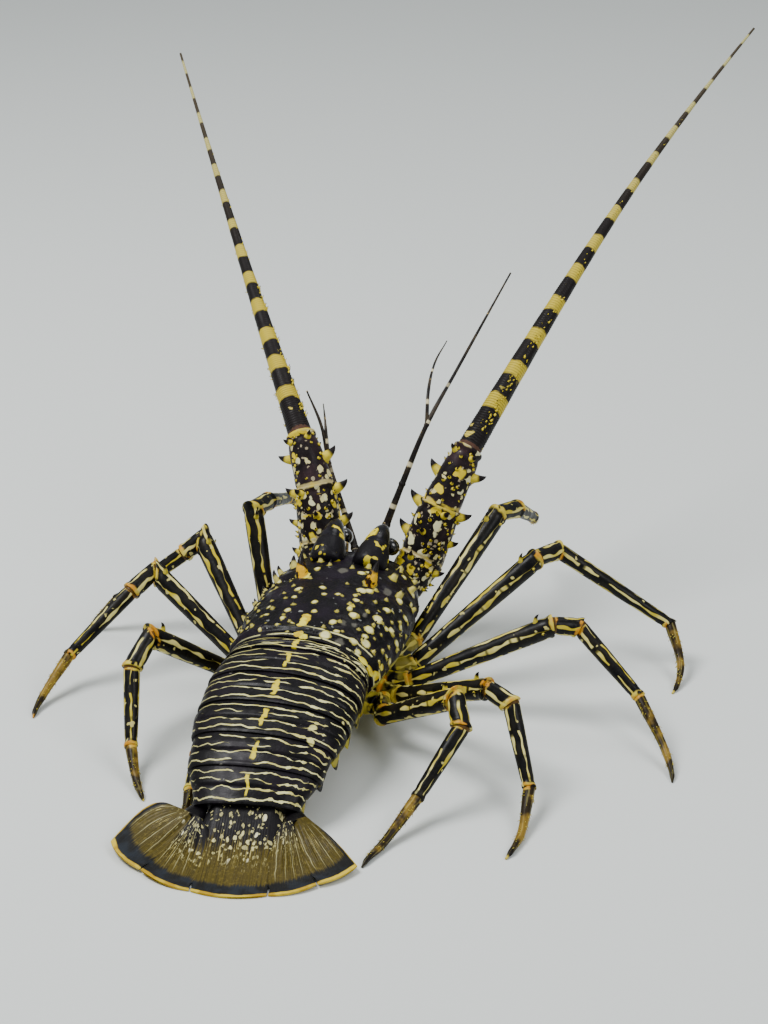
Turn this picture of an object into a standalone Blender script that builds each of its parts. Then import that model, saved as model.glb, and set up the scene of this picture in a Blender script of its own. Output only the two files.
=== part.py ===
"""Spiny lobster, a life-size still model.

It walks with its tail fan on the floor and its two front legs lifted.
+Y is the way it faces, +X is its right side, +Z is up, and the floor is z = 0.
Sizes are in millimetres, and MM turns them into metres. Lengths along the body are
counted from the rear edge of the carapace.
"""

import math
import random

import bmesh
import bpy
from mathutils import Matrix, Vector

MM = 0.001
GAP = 0.3  # between two solids that touch

# Trunk, from which the other sizes follow
CARAPACE_LENGTH = 104.0
CARAPACE_REAR = -4.0
ABDOMEN_SEGMENTS = (9.0, 20.0, 20.0, 19.0, 18.0, 19.0)
BACK_HEIGHT = 54.5
FIRST_SLOPE = math.radians(3.0)
LAST_SLOPE = math.radians(38.0)
TAIL_TURN = math.radians(9.0)
ARCH_POINTS = 16
ARCH_POWER = 0.9  # under 1 squares the shoulders of the arch

# Each knot is a share of the carapace's length from its rear edge, and a size there
CARAPACE_HALF_WIDTH = ((0, 37), (0.12, 39), (0.4, 41), (0.62, 40.5), (0.8, 38.5), (0.92, 35), (1, 31.5))
CARAPACE_TOP = ((0, 54.5), (0.08, 56.5), (0.35, 59), (0.55, 58.5), (0.6, 57), (0.66, 58.2), (0.85, 56), (1, 52))
CARAPACE_SIDE = ((0, 33), (0.5, 32), (1, 33))
CARAPACE_EDGE = ((0, 24), (0.15, 22.5), (1, 22))
CARAPACE_EDGE_HALF = ((0, 30), (0.3, 34), (0.8, 30), (1, 24))
CARAPACE_STATIONS = (0, 0.03, 0.05, 0.07, 0.2, 0.35, 0.48, 0.56, 0.6, 0.66, 0.76, 0.86, 0.94, 1)
REAR_GROOVE = 0.05
REAR_GROOVE_DEPTH = 0.8

# Thorns of the carapace on each side, as (share of its length, degrees from the middle, length)
FRONT_THORNS = (
    (0.61, 24, 13), (0.76, 17, 5.5), (0.74, 40, 8), (0.88, 44, 7), (0.9, 66, 6),
    (0.78, 62, 7), (0.64, 52, 6.5), (0.66, 74, 5), (0.7, 7, 4),
)
REAR_THORN_ROWS = (0.11, 0.18, 0.25, 0.32, 0.39, 0.46, 0.53)
REAR_THORN_TURNS = (13, 29, 45, 60, 74)
REAR_THORN_LENGTH = (2.2, 3.8)
THORN_SIDES = 5
THORN_ROOT = 0.27  # radius of a root for each unit of length
THORN_LEAN = 1.0  # how far a thorn leans along its shell for each unit that it stands out
THORN_SUNK = 0.35

# Each knot is a share of the abdomen's length, and a size there
ABDOMEN_HALF_WIDTH = ((0, 36), (0.25, 38.5), (0.5, 37.5), (0.75, 33), (1, 25))
ABDOMEN_DEPTH = ((0, 29), (0.4, 27), (0.75, 21), (1, 14.5))
PLATE_STEP = 0.8
PLATE_STATIONS = (0, 0.12, 0.4, 0.5, 0.6, 1)
PLATE_GROOVE = 0.5
PLEURON_DROP = 6.0
PLEURON_BACK = 4.0
PLEURON_LONG = 6.5
PLEURON_THIN = 1.6

# Tail fan. Its edge is an arc about a point in front of its root, and its plates are sectors.
FAN_CENTRE = 22.0
FAN_RADIUS = 71.0
FAN_EDGES = {"telson": (-14.2, 14.2), "inner": (14.8, 34.4), "outer": (35.0, 54.0)}
FAN_ROOTS = {"telson": (-15.5, 15.5), "inner": (-6.8, -0.3), "outer": (0.3, 6.8)}
FAN_SPREAD = {1: 0.94, -1: 1.12}  # how wide the side plates open, right and left
FAN_ROOT_THICK = 6.5
FAN_EDGE_THICK = 1.3
FAN_TIP_RISE = 5.0
FAN_COLUMNS = {"telson": 14, "inner": 10, "outer": 10}
FAN_RIB = 0.6
FAN_BOW = {1: 5.0, -1: 13.0}  # how far the outer plate's front edge bows forward, right and left
FAN_LIFT = {1: 0.5, -1: 6.0}  # how far its middle is raised
FAN_DROP = 1.7
FAN_LOBE_ANGLE = math.radians(34.0)
FAN_LOBE_SIDE = 23.8
FAN_LOBE_BACK = 4.0
FAN_LOBE_RINGS = ((-14, -3, 3.2, 4.5), (-4.5, -0.5, 6, 6.5), (0, 0, 7.5, 6.5))

# Under the trunk
STERNUM_FRONT = 68.0
STERNUM_REAR = 4.0
STERNUM_HALF_FRONT = 18.0
STERNUM_HALF_REAR = 30.0
STERNUM_BOTTOM = 8.0
STERNUM_TOP = 22.0

# Half width and half height of a leg where each named stretch starts and ends
COXA = ((5.0, 6.2), (5.2, 5.8))
ISCHIUM = ((4.6, 5.0), (4.8, 4.8))
MERUS = ((4.6, 4.6), (5.4, 5.4))
CARPUS = ((4.6, 4.6), (4.9, 4.9))
PROPODUS = ((4.0, 4.0), (3.2, 3.2))
DACTYL = ((2.9, 2.9), (2.0, 2.0), (1.3, 1.3), (0.9, 0.9))
DACTYL_BEND = 0.14  # how far it bows out, as a share of its length
COXA_REACH = 8.0
LEG_SIDES = 8
HIP_HEIGHT = 14.5

# Joints of each leg from ischium to tip: (right, forward, up)
LEGS = {
    "leg_1_right": (58.0, (37, 78, 17), (67, 135, 67), (73, 154, 62), (75, 188, 42), (71, 206, 30)),
    "leg_2_right": (46.5, (43, 55, 16), (96, 98, 62), (104, 114, 60), (163, 122, 21), (171, 86, 0)),
    "leg_3_right": (35.0, (45, 38, 15), (115, 50, 50), (127, 57, 47), (161, 40, 22), (185, 0, 0)),
    "leg_4_right": (24.0, (44, 22, 15), (97, -14, 46), (109, -17, 41), (124, -42, 12), (123, -86, 0)),
    "leg_5_right": (11.0, (41, 2, 14), (84, -25, 45), (90, -38, 37), (76, -66, 13), (62, -110, 0)),
    "leg_1_left": (58.0, (-44, 82, 18), (-60, 108, 66), (-58, 128, 62), (-58, 161, 49), (-56, 183, 35)),
    "leg_2_left": (46.5, (-48, 59, 16), (-84, 94, 52), (-93, 90, 44), (-128, 78, 17), (-142, 71, 0)),
    "leg_3_left": (35.0, (-45, 38, 15), (-98, 58, 48), (-105, 42, 43), (-129, 13, 17), (-134, -24, 0)),
    "leg_4_left": (24.0, (-44, 23, 15), (-74, -12, 49), (-78, -28, 39), (-69, -56, 12), (-53, -83, 0)),
    "leg_5_left": (11.0, (-38, 0, 10), (-38, -36, 9), (-36, -51, 9), (-32, -76, 5.5), (-29, -93, 0)),
}

# Joints of each antenna from its root to its tip, with its half width at each
ANTENNA_RADII = {"base": (10.2, 12.0), "arm": (12.3, 11.0), "wrist": (10.6, 7.8), "flagellum": (6.6, 0.7)}
ANTENNAE = {
    "right": ((21.5, 100, 30), (30, 117, 44), (38, 127, 72), (49, 141, 99), (149, 440, 259)),
    "left": ((-21.5, 100, 30), (-24.5, 116, 45), (-31.5, 128, 74), (-43, 140, 97), (-200, 400, 230)),
}
ANTENNA_SIDES = 10
FLAGELLUM_TAPER = 1.5
# Thorns of each antenna segment, as (share of its length, degrees from its outer side, length)
ANTENNA_THORNS = {
    "base": ((0.8, 5, 6), (0.75, 95, 5)),
    "arm": ((0.35, 185, 9), (0.9, 180, 9), (0.5, 100, 5), (0.88, 60, 6), (0.88, -5, 8), (0.4, 5, 6)),
    "wrist": ((0.45, 185, 9), (0.9, 130, 5), (0.88, 50, 5), (0.6, 0, 8)),
}
ANTENNA_THORN_LEAN = 0.7
ANTENNA_THORN_WIDE = 1.4
MERUS_THORN = 5.5
FLAGELLUM_SAG = {"right": -13.0, "left": 4.0}
FLAGELLUM_STEPS = 14

# Plate between the antennae, as (forward, half width, bottom, top), which carries the antennules
ANTENNULAR_PLATE = ((92, 9, 29, 43), (104, 8.5, 31, 42.5), (113, 7, 33, 41))
ANTENNULES = {
    "right": ((3.8, 113.3, 37), (10, 120, 60), (17, 126, 82), (27, 138, 112), (36, 165, 133), (50, 230, 167)),
    "left": ((-3.8, 113.3, 37), (-8, 122, 43), (-18, 138, 54), (-31, 152, 77), (-38, 161, 95), (-49, 171, 110)),
}
ANTENNULE_RADII = (2.4, 0.5)

# Joints of the feeding leg under each side of the head
MAXILLIPED = ((7, 68.3, 14), (9, 82, 12), (11, 96, 13), (8, 106, 14), (6, 118, 19))
MAXILLIPED_RADII = ((4.2, 4.2), (4.2, 4.6), (3.8, 4.0), (3.0, 3.0), (1.0, 1.0))

EYE_RADIUS = 5.0
EYE_STALKS = {"right": ((8.5, 100.3, 47), (13, 105.5, 51)), "left": ((-8, 100.3, 47), (-9.4, 105.8, 52.5))}
HORN_SEAT = (12.0, 92.5, 60.2)
HORN_LENGTH = 17.0
HORN_RADIUS = 7.2
HORN_TIP = 0.8
HORN_CURVE = 3.0
HORN_BLUNT = 0.55  # under 1 keeps the horn thick toward its tip
HORN_PITCH = math.radians(30.0)


def along(share, knots):
    """Value at this share of a length, eased between the knots on either side."""
    for (low, first), (high, second) in zip(knots, knots[1:]):
        if share <= high:
            part = (share - low) / (high - low)
            part = part * part * (3 - 2 * part)
            return first + (second - first) * part
    return knots[-1][1]


def material(name, colour, roughness):
    made = bpy.data.materials.new(name)
    made.use_nodes = True
    shader = made.node_tree.nodes["Principled BSDF"]
    shader.inputs["Base Color"].default_value = (*colour, 1)
    shader.inputs["Roughness"].default_value = roughness
    shader.inputs["Metallic"].default_value = 0
    return made


def add_object(name, bm, finish, folder):
    """Names the mesh, gives it its finish and puts it in its collection."""
    bmesh.ops.recalc_face_normals(bm, faces=bm.faces)
    mesh = bpy.data.meshes.new(name)
    bm.to_mesh(mesh)
    bm.free()
    mesh.materials.append(finish)
    mesh.shade_smooth()
    mesh.set_sharp_from_angle(angle=math.radians(40))
    made = bpy.data.objects.new(name, mesh)
    folder.objects.link(made)
    return made


def loft(rings, tip=None):
    """Closed surface through rings of points in millimetres, with a flat cap or a tip at its end."""
    bm = bmesh.new()
    rows = [[bm.verts.new(Vector(point) * MM) for point in ring] for ring in rings]
    for near, far in zip(rows, rows[1:]):
        for i in range(len(near)):
            j = (i + 1) % len(near)
            bm.faces.new((near[i], near[j], far[j], far[i]))
    bm.faces.new(rows[0])
    if tip is None:
        bm.faces.new(rows[-1])
    else:
        top = bm.verts.new(Vector(tip) * MM)
        for i in range(len(rows[-1])):
            bm.faces.new((rows[-1][i], rows[-1][(i + 1) % len(rows[-1])], top))
    return bm


def oval(middle, first, second, sides):
    """Ring of points round the middle, with two half axes given as vectors."""
    turns = [math.tau * k / sides for k in range(sides)]
    return [middle + first * math.cos(turn) + second * math.sin(turn) for turn in turns]


def thorn(root, outward, lean, length, wide=1.0):
    """Pointed thorn on a shell. It rises outward and bends over the way that it leans."""
    first = lean.cross(outward).normalized() * length * THORN_ROOT * wide
    second = outward.cross(first)
    rings = [
        oval(root - outward * length * THORN_SUNK, first * 1.1, second * 1.1, THORN_SIDES),
        oval(root + (outward * 0.45 + lean * 0.15) * length, first * 0.55, second * 0.55, THORN_SIDES),
    ]
    return loft(rings, root + (outward + lean * THORN_LEAN).normalized() * length)


def fuse(made, pieces):
    """Joins closed pieces to the object, and keeps its largest closed surface."""
    extras = bpy.data.collections.new(made.name + "_pieces")
    bpy.context.scene.collection.children.link(extras)
    for number, bm in enumerate(pieces):
        bmesh.ops.recalc_face_normals(bm, faces=bm.faces)
        mesh = bpy.data.meshes.new(f"{made.name}_piece_{number}")
        bm.to_mesh(mesh)
        bm.free()
        extras.objects.link(bpy.data.objects.new(mesh.name, mesh))
    union = made.modifiers.new("union", "BOOLEAN")
    union.operation = "UNION"
    union.operand_type = "COLLECTION"
    union.collection = extras
    joined = bpy.data.meshes.new_from_object(made.evaluated_get(bpy.context.evaluated_depsgraph_get()))
    made.modifiers.clear()
    for piece in list(extras.objects):
        bpy.data.objects.remove(piece)
    bpy.data.collections.remove(extras)
    bm = bmesh.new()
    bm.from_mesh(joined)
    keep_largest(bm)
    bm.to_mesh(joined)
    bm.free()
    joined.shade_smooth()
    joined.set_sharp_from_angle(angle=math.radians(40))
    made.data = joined


def keep_largest(bm):
    """Deletes all but the closed surface that holds the largest volume."""
    left = set(bm.faces)
    shells = []
    while left:
        front = [left.pop()]
        shell = set(front)
        while front:
            for edge in front.pop().edges:
                for face in edge.link_faces:
                    if face in left:
                        left.discard(face)
                        shell.add(face)
                        front.append(face)
        volume = 0.0
        for face in shell:
            volume += face.calc_area() * face.calc_center_median().dot(face.normal)
        shells.append((volume, len(shells), shell))
    largest = max(shells)[2]
    loose = [face for face in bm.faces if face not in largest]
    bmesh.ops.delete(bm, geom=loose, context="FACES")


def arch(half_width, top, side, edge_half, edge):
    """Outline of a slice across the trunk, as (sideways, upward), right to left over the back."""
    outline = [(edge_half, edge)]
    for k in range(ARCH_POINTS + 1):
        turn = math.pi * k / ARCH_POINTS
        across = math.copysign(abs(math.cos(turn)) ** ARCH_POWER, math.cos(turn))
        outline.append((half_width * across, side + (top - side) * math.sin(turn) ** ARCH_POWER))
    outline.append((-edge_half, edge))
    return outline


def body_station(distance):
    """Point on the back this far behind the carapace, with the right, up and forward directions."""
    total = sum(ABDOMEN_SEGMENTS)
    point = Vector((0, CARAPACE_REAR, BACK_HEIGHT))
    steps = max(1, round(abs(distance)))
    for k in range(steps + 1):
        share = distance * k / steps / total
        slope = FIRST_SLOPE + (LAST_SLOPE - FIRST_SLOPE) * share
        yaw = TAIL_TURN * share**3
        forward = Vector((-math.sin(yaw) * math.cos(slope), math.cos(yaw) * math.cos(slope), math.sin(slope)))
        if k < steps:
            point = point - forward * distance / steps
    right = Vector((math.cos(yaw), math.sin(yaw), 0))
    return point, right, right.cross(forward), forward


def placed(outline, point, right, up):
    return [point + right * across + up * height for across, height in outline]


def make_carapace(finish, folder):
    """Arched thorny shield with a flat underside, cut off square at the front between the antennae."""
    rings = []
    for share in CARAPACE_STATIONS:
        groove = REAR_GROOVE_DEPTH if share == REAR_GROOVE else 0
        outline = arch(
            along(share, CARAPACE_HALF_WIDTH) - groove,
            along(share, CARAPACE_TOP) - groove,
            along(share, CARAPACE_SIDE),
            along(share, CARAPACE_EDGE_HALF),
            along(share, CARAPACE_EDGE),
        )
        if share == 0:
            point, right, up, forward = body_station(0)
            low = [(across, height - BACK_HEIGHT) for across, height in outline]
            rings.append(placed(low, point + forward * GAP / 2, right, up))
        else:
            y = CARAPACE_REAR + CARAPACE_LENGTH * share
            rings.append([Vector((across, y, height)) for across, height in outline])
    carapace = add_object("carapace", loft(rings), finish, folder)
    fuse(carapace, [horn_seat(1), horn_seat(-1), antennular_plate()] + carapace_thorns())


def carapace_point(share, degrees):
    """Point of the shield at this share of its length and angle from the middle, right side positive."""
    turn = math.radians(90 - degrees)
    across = along(share, CARAPACE_HALF_WIDTH) * math.copysign(abs(math.cos(turn)) ** ARCH_POWER, math.cos(turn))
    side = along(share, CARAPACE_SIDE)
    height = side + (along(share, CARAPACE_TOP) - side) * math.sin(turn) ** ARCH_POWER
    return Vector((across, CARAPACE_REAR + CARAPACE_LENGTH * share, height))


def carapace_thorns():
    """Strong thorns on the front half, and rows of small ones behind the neck groove, all leaning forward."""
    draw = random.Random(7)
    places = [(share, side * degrees, length) for side in (1, -1) for share, degrees, length in FRONT_THORNS]
    for number, share in enumerate(REAR_THORN_ROWS):
        for degrees in REAR_THORN_TURNS:
            for side in (1, -1):
                turn = degrees + (number % 2) * 7 + draw.uniform(-3, 3)
                places.append((share + draw.uniform(-0.015, 0.015), side * turn, draw.uniform(*REAR_THORN_LENGTH)))
    pieces = []
    for share, degrees, length in places:
        root = carapace_point(share, degrees)
        forward = (carapace_point(min(1, share + 0.02), degrees) - carapace_point(share - 0.02, degrees)).normalized()
        around = (carapace_point(share, degrees - 2) - carapace_point(share, degrees + 2)).normalized()
        pieces.append(thorn(root, forward.cross(around).normalized(), forward, length))
    return pieces


def antennular_plate():
    """Wedge that juts forward between the antennae."""
    rings = []
    for y, half, bottom, top in ANTENNULAR_PLATE:
        outline = ((half, bottom), (half, top - 1.5), (half - 3, top), (3 - half, top), (-half, top - 1.5), (-half, bottom))
        rings.append([Vector((across, y, height)) for across, height in outline])
    return loft(rings)


def make_abdomen(finish, folder):
    """Six ring plates, each a little narrower in front, where it slides under the one before."""
    total = sum(ABDOMEN_SEGMENTS)
    start = 0.0
    for number, length in enumerate(ABDOMEN_SEGMENTS, 1):
        rings = []
        for share in PLATE_STATIONS:
            distance = start + length * share
            point, right, up, forward = body_station(distance)
            if share in (0, 1):
                point = point + forward * GAP * (share - 0.5)
            step = PLATE_STEP * (1 - min(1, share / 0.3))
            if share == 0.5:
                step = PLATE_GROOVE
            half = along(distance / total, ABDOMEN_HALF_WIDTH) - step
            depth = along(distance / total, ABDOMEN_DEPTH)
            outline = arch(half, -step, -depth * 0.62, half * 0.86, -depth)
            rings.append(placed(outline, point, right, up))
        ring = add_object(f"abdomen_{number}", loft(rings), finish, folder)
        pieces = []
        if number > 1:
            pieces += [pleuron(start + length / 2, 1), pleuron(start + length / 2, -1)]
        if number == len(ABDOMEN_SEGMENTS):
            pieces += [fan_lobe(1), fan_lobe(-1)]
        if pieces:
            fuse(ring, pieces)
        start += length


def pleuron(distance, side):
    """Flat tooth that hangs from the side of a ring plate and points back."""
    share = distance / sum(ABDOMEN_SEGMENTS)
    half = along(share, ABDOMEN_HALF_WIDTH)
    depth = along(share, ABDOMEN_DEPTH)
    drop = PLEURON_DROP * (1 - 0.5 * share)
    point, right, up, forward = body_station(distance)
    root = point + right * side * half * 0.87 - up * (depth - 4)
    middle = point + right * side * half * 0.88 - up * (depth + drop * 0.3) - forward
    tip = point + right * side * half * 0.9 - up * (depth + drop) - forward * PLEURON_BACK
    rings = [
        oval(root, forward * PLEURON_LONG, right * PLEURON_THIN, 6),
        oval(middle, forward * PLEURON_LONG * 0.7, right * PLEURON_THIN * 0.8, 6),
    ]
    return loft(rings, tip)


def tail_frame():
    """End of the last ring, with its right, up and forward, and the level backward direction."""
    end, right, up, forward = body_station(sum(ABDOMEN_SEGMENTS))
    back = Vector((-forward.x, -forward.y, 0)).normalized()
    return end, right, up, forward, back


def lobe_frame(side):
    """Middle of the face that a pair of side plates grows from, with its outward and across directions."""
    end, right, up, forward, back = tail_frame()
    outward = back * math.cos(FAN_LOBE_ANGLE) + right * side * math.sin(FAN_LOBE_ANGLE)
    middle = end + back * FAN_LOBE_BACK + right * side * FAN_LOBE_SIDE
    middle.z = end.z * 0.5 + 1.5
    across = right * side * math.cos(FAN_LOBE_ANGLE) - back * math.sin(FAN_LOBE_ANGLE)
    return middle, outward, across


def fan_lobe(side):
    """Short limb at the corner of the last ring that carries two plates of the fan."""
    end, right, up, forward, back = tail_frame()
    middle, outward, across = lobe_frame(side)
    rings = []
    for reach, inward, half, thick in FAN_LOBE_RINGS:
        centre = middle + back * reach + right * side * inward
        rings.append(oval(centre, across * half, Vector((0, 0, thick / 2)), 12))
    return loft(rings)


def fan_plate(part, side):
    """One plate of the tail fan, thick at its root and thin at its edge, where it rests on the floor."""
    end, right, up, forward, back = tail_frame()
    if part == "telson":
        middle = end - up * 6.5 - forward * GAP
        across, upward = right, up
    else:
        middle, outward, across = lobe_frame(side)
        middle = middle + outward * GAP
        upward = Vector((0, 0, 1))
    centre = Vector((end.x, end.y, 0)) - back * FAN_CENTRE
    first_root, last_root = FAN_ROOTS[part]
    first_angle, last_angle = FAN_EDGES[part]
    inner_edge = FAN_EDGES["inner"][0]
    columns = FAN_COLUMNS[part]
    rows = 6
    bm = bmesh.new()
    layers = ([], [])
    for r in range(rows + 1):
        out = r / rows
        thick = FAN_ROOT_THICK + (FAN_EDGE_THICK - FAN_ROOT_THICK) * out**0.6
        lines = ([], [])
        for c in range(columns + 1):
            part_way = c / columns
            angle = first_angle + (last_angle - first_angle) * part_way
            if part != "telson":
                angle = inner_edge + (angle - inner_edge) * FAN_SPREAD[side]
            angle = math.radians(angle)
            radius = FAN_RADIUS - 2.5 * (2 * part_way - 1) ** 2
            edge = centre + back * radius * math.cos(angle) + right * side * radius * math.sin(angle)
            root = middle + across * (first_root + (last_root - first_root) * part_way)
            rise = FAN_TIP_RISE * max(0.0, math.sin(abs(angle)) - 0.3)
            for k, (line, offset) in enumerate(zip(lines, (0.5, -0.5))):
                high = root + upward * FAN_ROOT_THICK * offset
                low = Vector((edge.x, edge.y, rise + FAN_EDGE_THICK * (1 - k)))
                point = high + (low - high) * out
                bow = part_way**2 * math.sin(math.pi * out) if part == "outer" else 0
                point -= back * FAN_BOW[side] * bow
                point.z = low.z + (high.z - low.z) * (1 - out) ** FAN_DROP + FAN_LIFT[side] * bow
                if k == 0 and c % 2:
                    point.z += FAN_RIB * math.sin(math.pi * min(out + 0.1, 0.85))
                line.append(bm.verts.new(point * MM))
        for layer, line in zip(layers, lines):
            layer.append(line)
    upper, lower = layers
    for r in range(rows):
        for c in range(columns):
            for grid in layers:
                a, b = grid[r][c], grid[r][c + 1]
                d, e = grid[r + 1][c], grid[r + 1][c + 1]
                bm.faces.new((a, b, e))
                bm.faces.new((a, e, d))
    for r in range(rows):
        for c in (0, columns):
            bm.faces.new((upper[r][c], upper[r + 1][c], lower[r + 1][c], lower[r][c]))
    for c in range(columns):
        for r in (0, rows):
            bm.faces.new((upper[r][c], upper[r][c + 1], lower[r][c + 1], lower[r][c]))
    return bm


def make_tail_fan(finish, folder):
    add_object("telson", fan_plate("telson", 1), finish, folder)
    for part in ("inner", "outer"):
        for side, word in ((1, "right"), (-1, "left")):
            add_object(f"uropod_{part}_{word}", fan_plate(part, side), finish, folder)


def make_sternum(finish, folder):
    """Breastplate between the legs, wider to the rear."""
    rings = []
    for y, half in ((STERNUM_REAR, STERNUM_HALF_REAR), (STERNUM_FRONT, STERNUM_HALF_FRONT)):
        top = STERNUM_TOP - GAP
        outline = ((half, STERNUM_BOTTOM + 3), (half, top), (-half, top), (-half, STERNUM_BOTTOM + 3))
        outline += ((-half + 8, STERNUM_BOTTOM), (half - 8, STERNUM_BOTTOM))
        rings.append([Vector((across, y, height)) for across, height in outline])
    return add_object("sternum", loft(rings), finish, folder)


def tube(points, radii, sides, first_normal=None, last_normal=None):
    """Limb through the points. Each ring lies in the plane that halves the bend there.

    radii holds (half width, half height) at each point. A given normal cuts that end.
    """
    points = [Vector(point) for point in points]
    runs = [(b - a).normalized() for a, b in zip(points, points[1:])]
    rings = []
    across = runs[0].cross(Vector((0, 0, 1)))
    if across.length < 0.1:
        across = Vector((1, 0, 0))
    for k, point in enumerate(points):
        before = runs[max(0, k - 1)]
        after = runs[min(len(runs) - 1, k)]
        normal = (before + after).normalized()
        if k == 0 and first_normal is not None:
            normal = first_normal
        if k == len(points) - 1 and last_normal is not None:
            normal = last_normal
        run = before if k else after
        across = (across - run * across.dot(run)).normalized()
        upward = across.cross(run)
        half_width, half_height = radii[k]
        ring = []
        for i in range(sides):
            turn = math.tau * (i + 0.5) / sides
            offset = across * half_width * math.cos(turn) + upward * half_height * math.sin(turn)
            offset = offset - run * offset.dot(normal) / run.dot(normal)
            ring.append(point + offset)
        rings.append(ring)
    return loft(rings)


def halfway(first, second, share):
    return Vector(first) + (Vector(second) - Vector(first)) * share


def joint_plane(before, joint, after):
    """Normal of the plane that halves the bend at a joint."""
    arriving = (Vector(joint) - Vector(before)).normalized()
    leaving = (Vector(after) - Vector(joint)).normalized()
    return (arriving + leaving).normalized()


def make_leg(name, joints, finish, folder):
    """Upper leg from the coxa to the knee, shin from there to the ankle, and the claw."""
    hip_forward, bend, knee, wrist, ankle, tip = joints
    side = 1 if bend[0] > 0 else -1
    share = (hip_forward - STERNUM_REAR) / (STERNUM_FRONT - STERNUM_REAR)
    half = STERNUM_HALF_REAR + (STERNUM_HALF_FRONT - STERNUM_HALF_REAR) * share
    run = STERNUM_FRONT - STERNUM_REAR
    wall = Vector((side * run, STERNUM_HALF_REAR - STERNUM_HALF_FRONT, 0)).normalized()
    hip = Vector((side * half, hip_forward, HIP_HEIGHT)) + wall * GAP
    coxa_end = hip + wall * COXA_REACH
    knee_plane = joint_plane(bend, knee, wrist)
    ankle_plane = joint_plane(wrist, ankle, tip)
    points = [hip, coxa_end, bend]
    points += [halfway(bend, knee, 0.12), halfway(bend, knee, 0.85), Vector(knee) - knee_plane * GAP / 2]
    radii = [COXA[0], COXA[1], ISCHIUM[1], MERUS[0], MERUS[1], MERUS[1]]
    upper = add_object(f"{name}_upper", tube(points, radii, LEG_SIDES, wall, knee_plane), finish, folder)
    run = (Vector(knee) - Vector(bend)).normalized()
    outward = run.cross(Vector((0, 0, 1))).cross(run).normalized()
    fuse(upper, [thorn(halfway(bend, knee, 0.9) + outward * MERUS[1][1] * 0.85, outward, run, MERUS_THORN)])
    points = [Vector(knee) + knee_plane * GAP / 2, wrist]
    points += [halfway(wrist, ankle, 0.15), Vector(ankle) - ankle_plane * GAP / 2]
    radii = [CARPUS[0], CARPUS[1], PROPODUS[0], PROPODUS[1]]
    add_object(f"{name}_shin", tube(points, radii, LEG_SIDES, knee_plane, ankle_plane), finish, folder)
    foot_plane = Vector((0, 0, -1)) if tip[2] == 0 else None
    bow = (Vector(ankle) - Vector(wrist)).normalized() * (Vector(tip) - Vector(ankle)).length * DACTYL_BEND
    points = [Vector(ankle) + ankle_plane * GAP / 2, halfway(ankle, tip, 0.5) + bow, halfway(ankle, tip, 0.85)]
    points[2] += bow / 2
    for point, (_, half_height) in zip(points[1:], DACTYL[1:]):
        point.z = max(point.z, half_height * 1.3)
    points.append(tip)
    add_object(f"{name}_claw", tube(points, DACTYL, LEG_SIDES, ankle_plane, foot_plane), finish, folder)


def make_antenna(word, joints, finish, folder):
    """Three heavy segments and a long tapering flagellum."""
    names = ("base", "arm", "wrist", "flagellum")
    joints = [Vector(joint) for joint in joints]
    planes = [Vector((0, 1, 0))]
    for before, joint, after in zip(joints, joints[1:], joints[2:]):
        planes.append(joint_plane(before, joint, after))
    planes.append(None)
    for k, part in enumerate(names):
        start = joints[k] + planes[k] * GAP / (1 if k == 0 else 2)
        first, last = ANTENNA_RADII[part]
        if part == "flagellum":
            points = []
            radii = []
            for step in range(FLAGELLUM_STEPS + 1):
                share = step / FLAGELLUM_STEPS
                point = halfway(start, joints[k + 1], share)
                point.z -= FLAGELLUM_SAG[word] * math.sin(math.pi * share)
                points.append(point)
                radius = last + (first - last) * (1 - share) ** FLAGELLUM_TAPER
                radii.append((radius, radius))
            bm = tube(points, radii, LEG_SIDES, planes[k], None)
        else:
            end = joints[k + 1] - planes[k + 1] * GAP / 2
            points = [start, halfway(start, end, 0.5), end]
            middle = (first + last) / 2
            radii = [(first, first), (middle, middle), (last, last)]
            bm = tube(points, radii, ANTENNA_SIDES, planes[k], planes[k + 1])
        segment = add_object(f"antenna_{word}_{part}", bm, finish, folder)
        if part != "flagellum":
            fuse(segment, antenna_thorns(part, start, end, 1 if word == "right" else -1))


def antenna_thorns(part, start, end, side):
    """Thorns of one segment. Their angles count from its outer side, over the side that faces back."""
    run = (end - start).normalized()
    outer = Vector((side, 0, 0))
    outer = (outer - run * outer.dot(run)).normalized()
    back = outer.cross(run) * side
    first, last = ANTENNA_RADII[part]
    pieces = []
    for share, degrees, length in ANTENNA_THORNS[part]:
        turn = math.radians(degrees)
        outward = outer * math.cos(turn) + back * math.sin(turn)
        radius = (first + (last - first) * share) * 0.95
        root = halfway(start, end, share) + outward * radius
        pieces.append(thorn(root, outward, run * ANTENNA_THORN_LEAN, length, ANTENNA_THORN_WIDE))
    return pieces


def make_antennule(word, joints, finish, folder):
    first, last = ANTENNULE_RADII
    radii = []
    for k in range(len(joints)):
        radius = first + (last - first) * k / (len(joints) - 1)
        radii.append((radius, radius))
    bm = tube(joints, radii, 6, Vector((0, 1, 0)), None)
    add_object(f"antennule_{word}", bm, finish, folder)


def make_maxilliped(word, side, finish, folder):
    """Feeding leg, held forward under the head from the front of the breastplate."""
    joints = [(side * x, y, z) for x, y, z in MAXILLIPED]
    bm = tube(joints, MAXILLIPED_RADII, LEG_SIDES, Vector((0, 1, 0)), None)
    add_object(f"maxilliped_{word}", bm, finish, folder)


def horn_frame(side):
    """Where a horn leaves its seat, and the way it points."""
    direction = Vector((side * 0.05, math.cos(HORN_PITCH), math.sin(HORN_PITCH))).normalized()
    return Vector((side * HORN_SEAT[0], HORN_SEAT[1], HORN_SEAT[2])), direction


def horn_seat(side):
    seat, direction = horn_frame(side)
    points = [seat - direction * 15, seat - direction * 6, seat]
    radii = [(HORN_RADIUS + 1, HORN_RADIUS + 1), (HORN_RADIUS + 0.7, HORN_RADIUS + 0.7), (HORN_RADIUS, HORN_RADIUS)]
    return tube(points, radii, 10, direction, direction)


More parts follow.
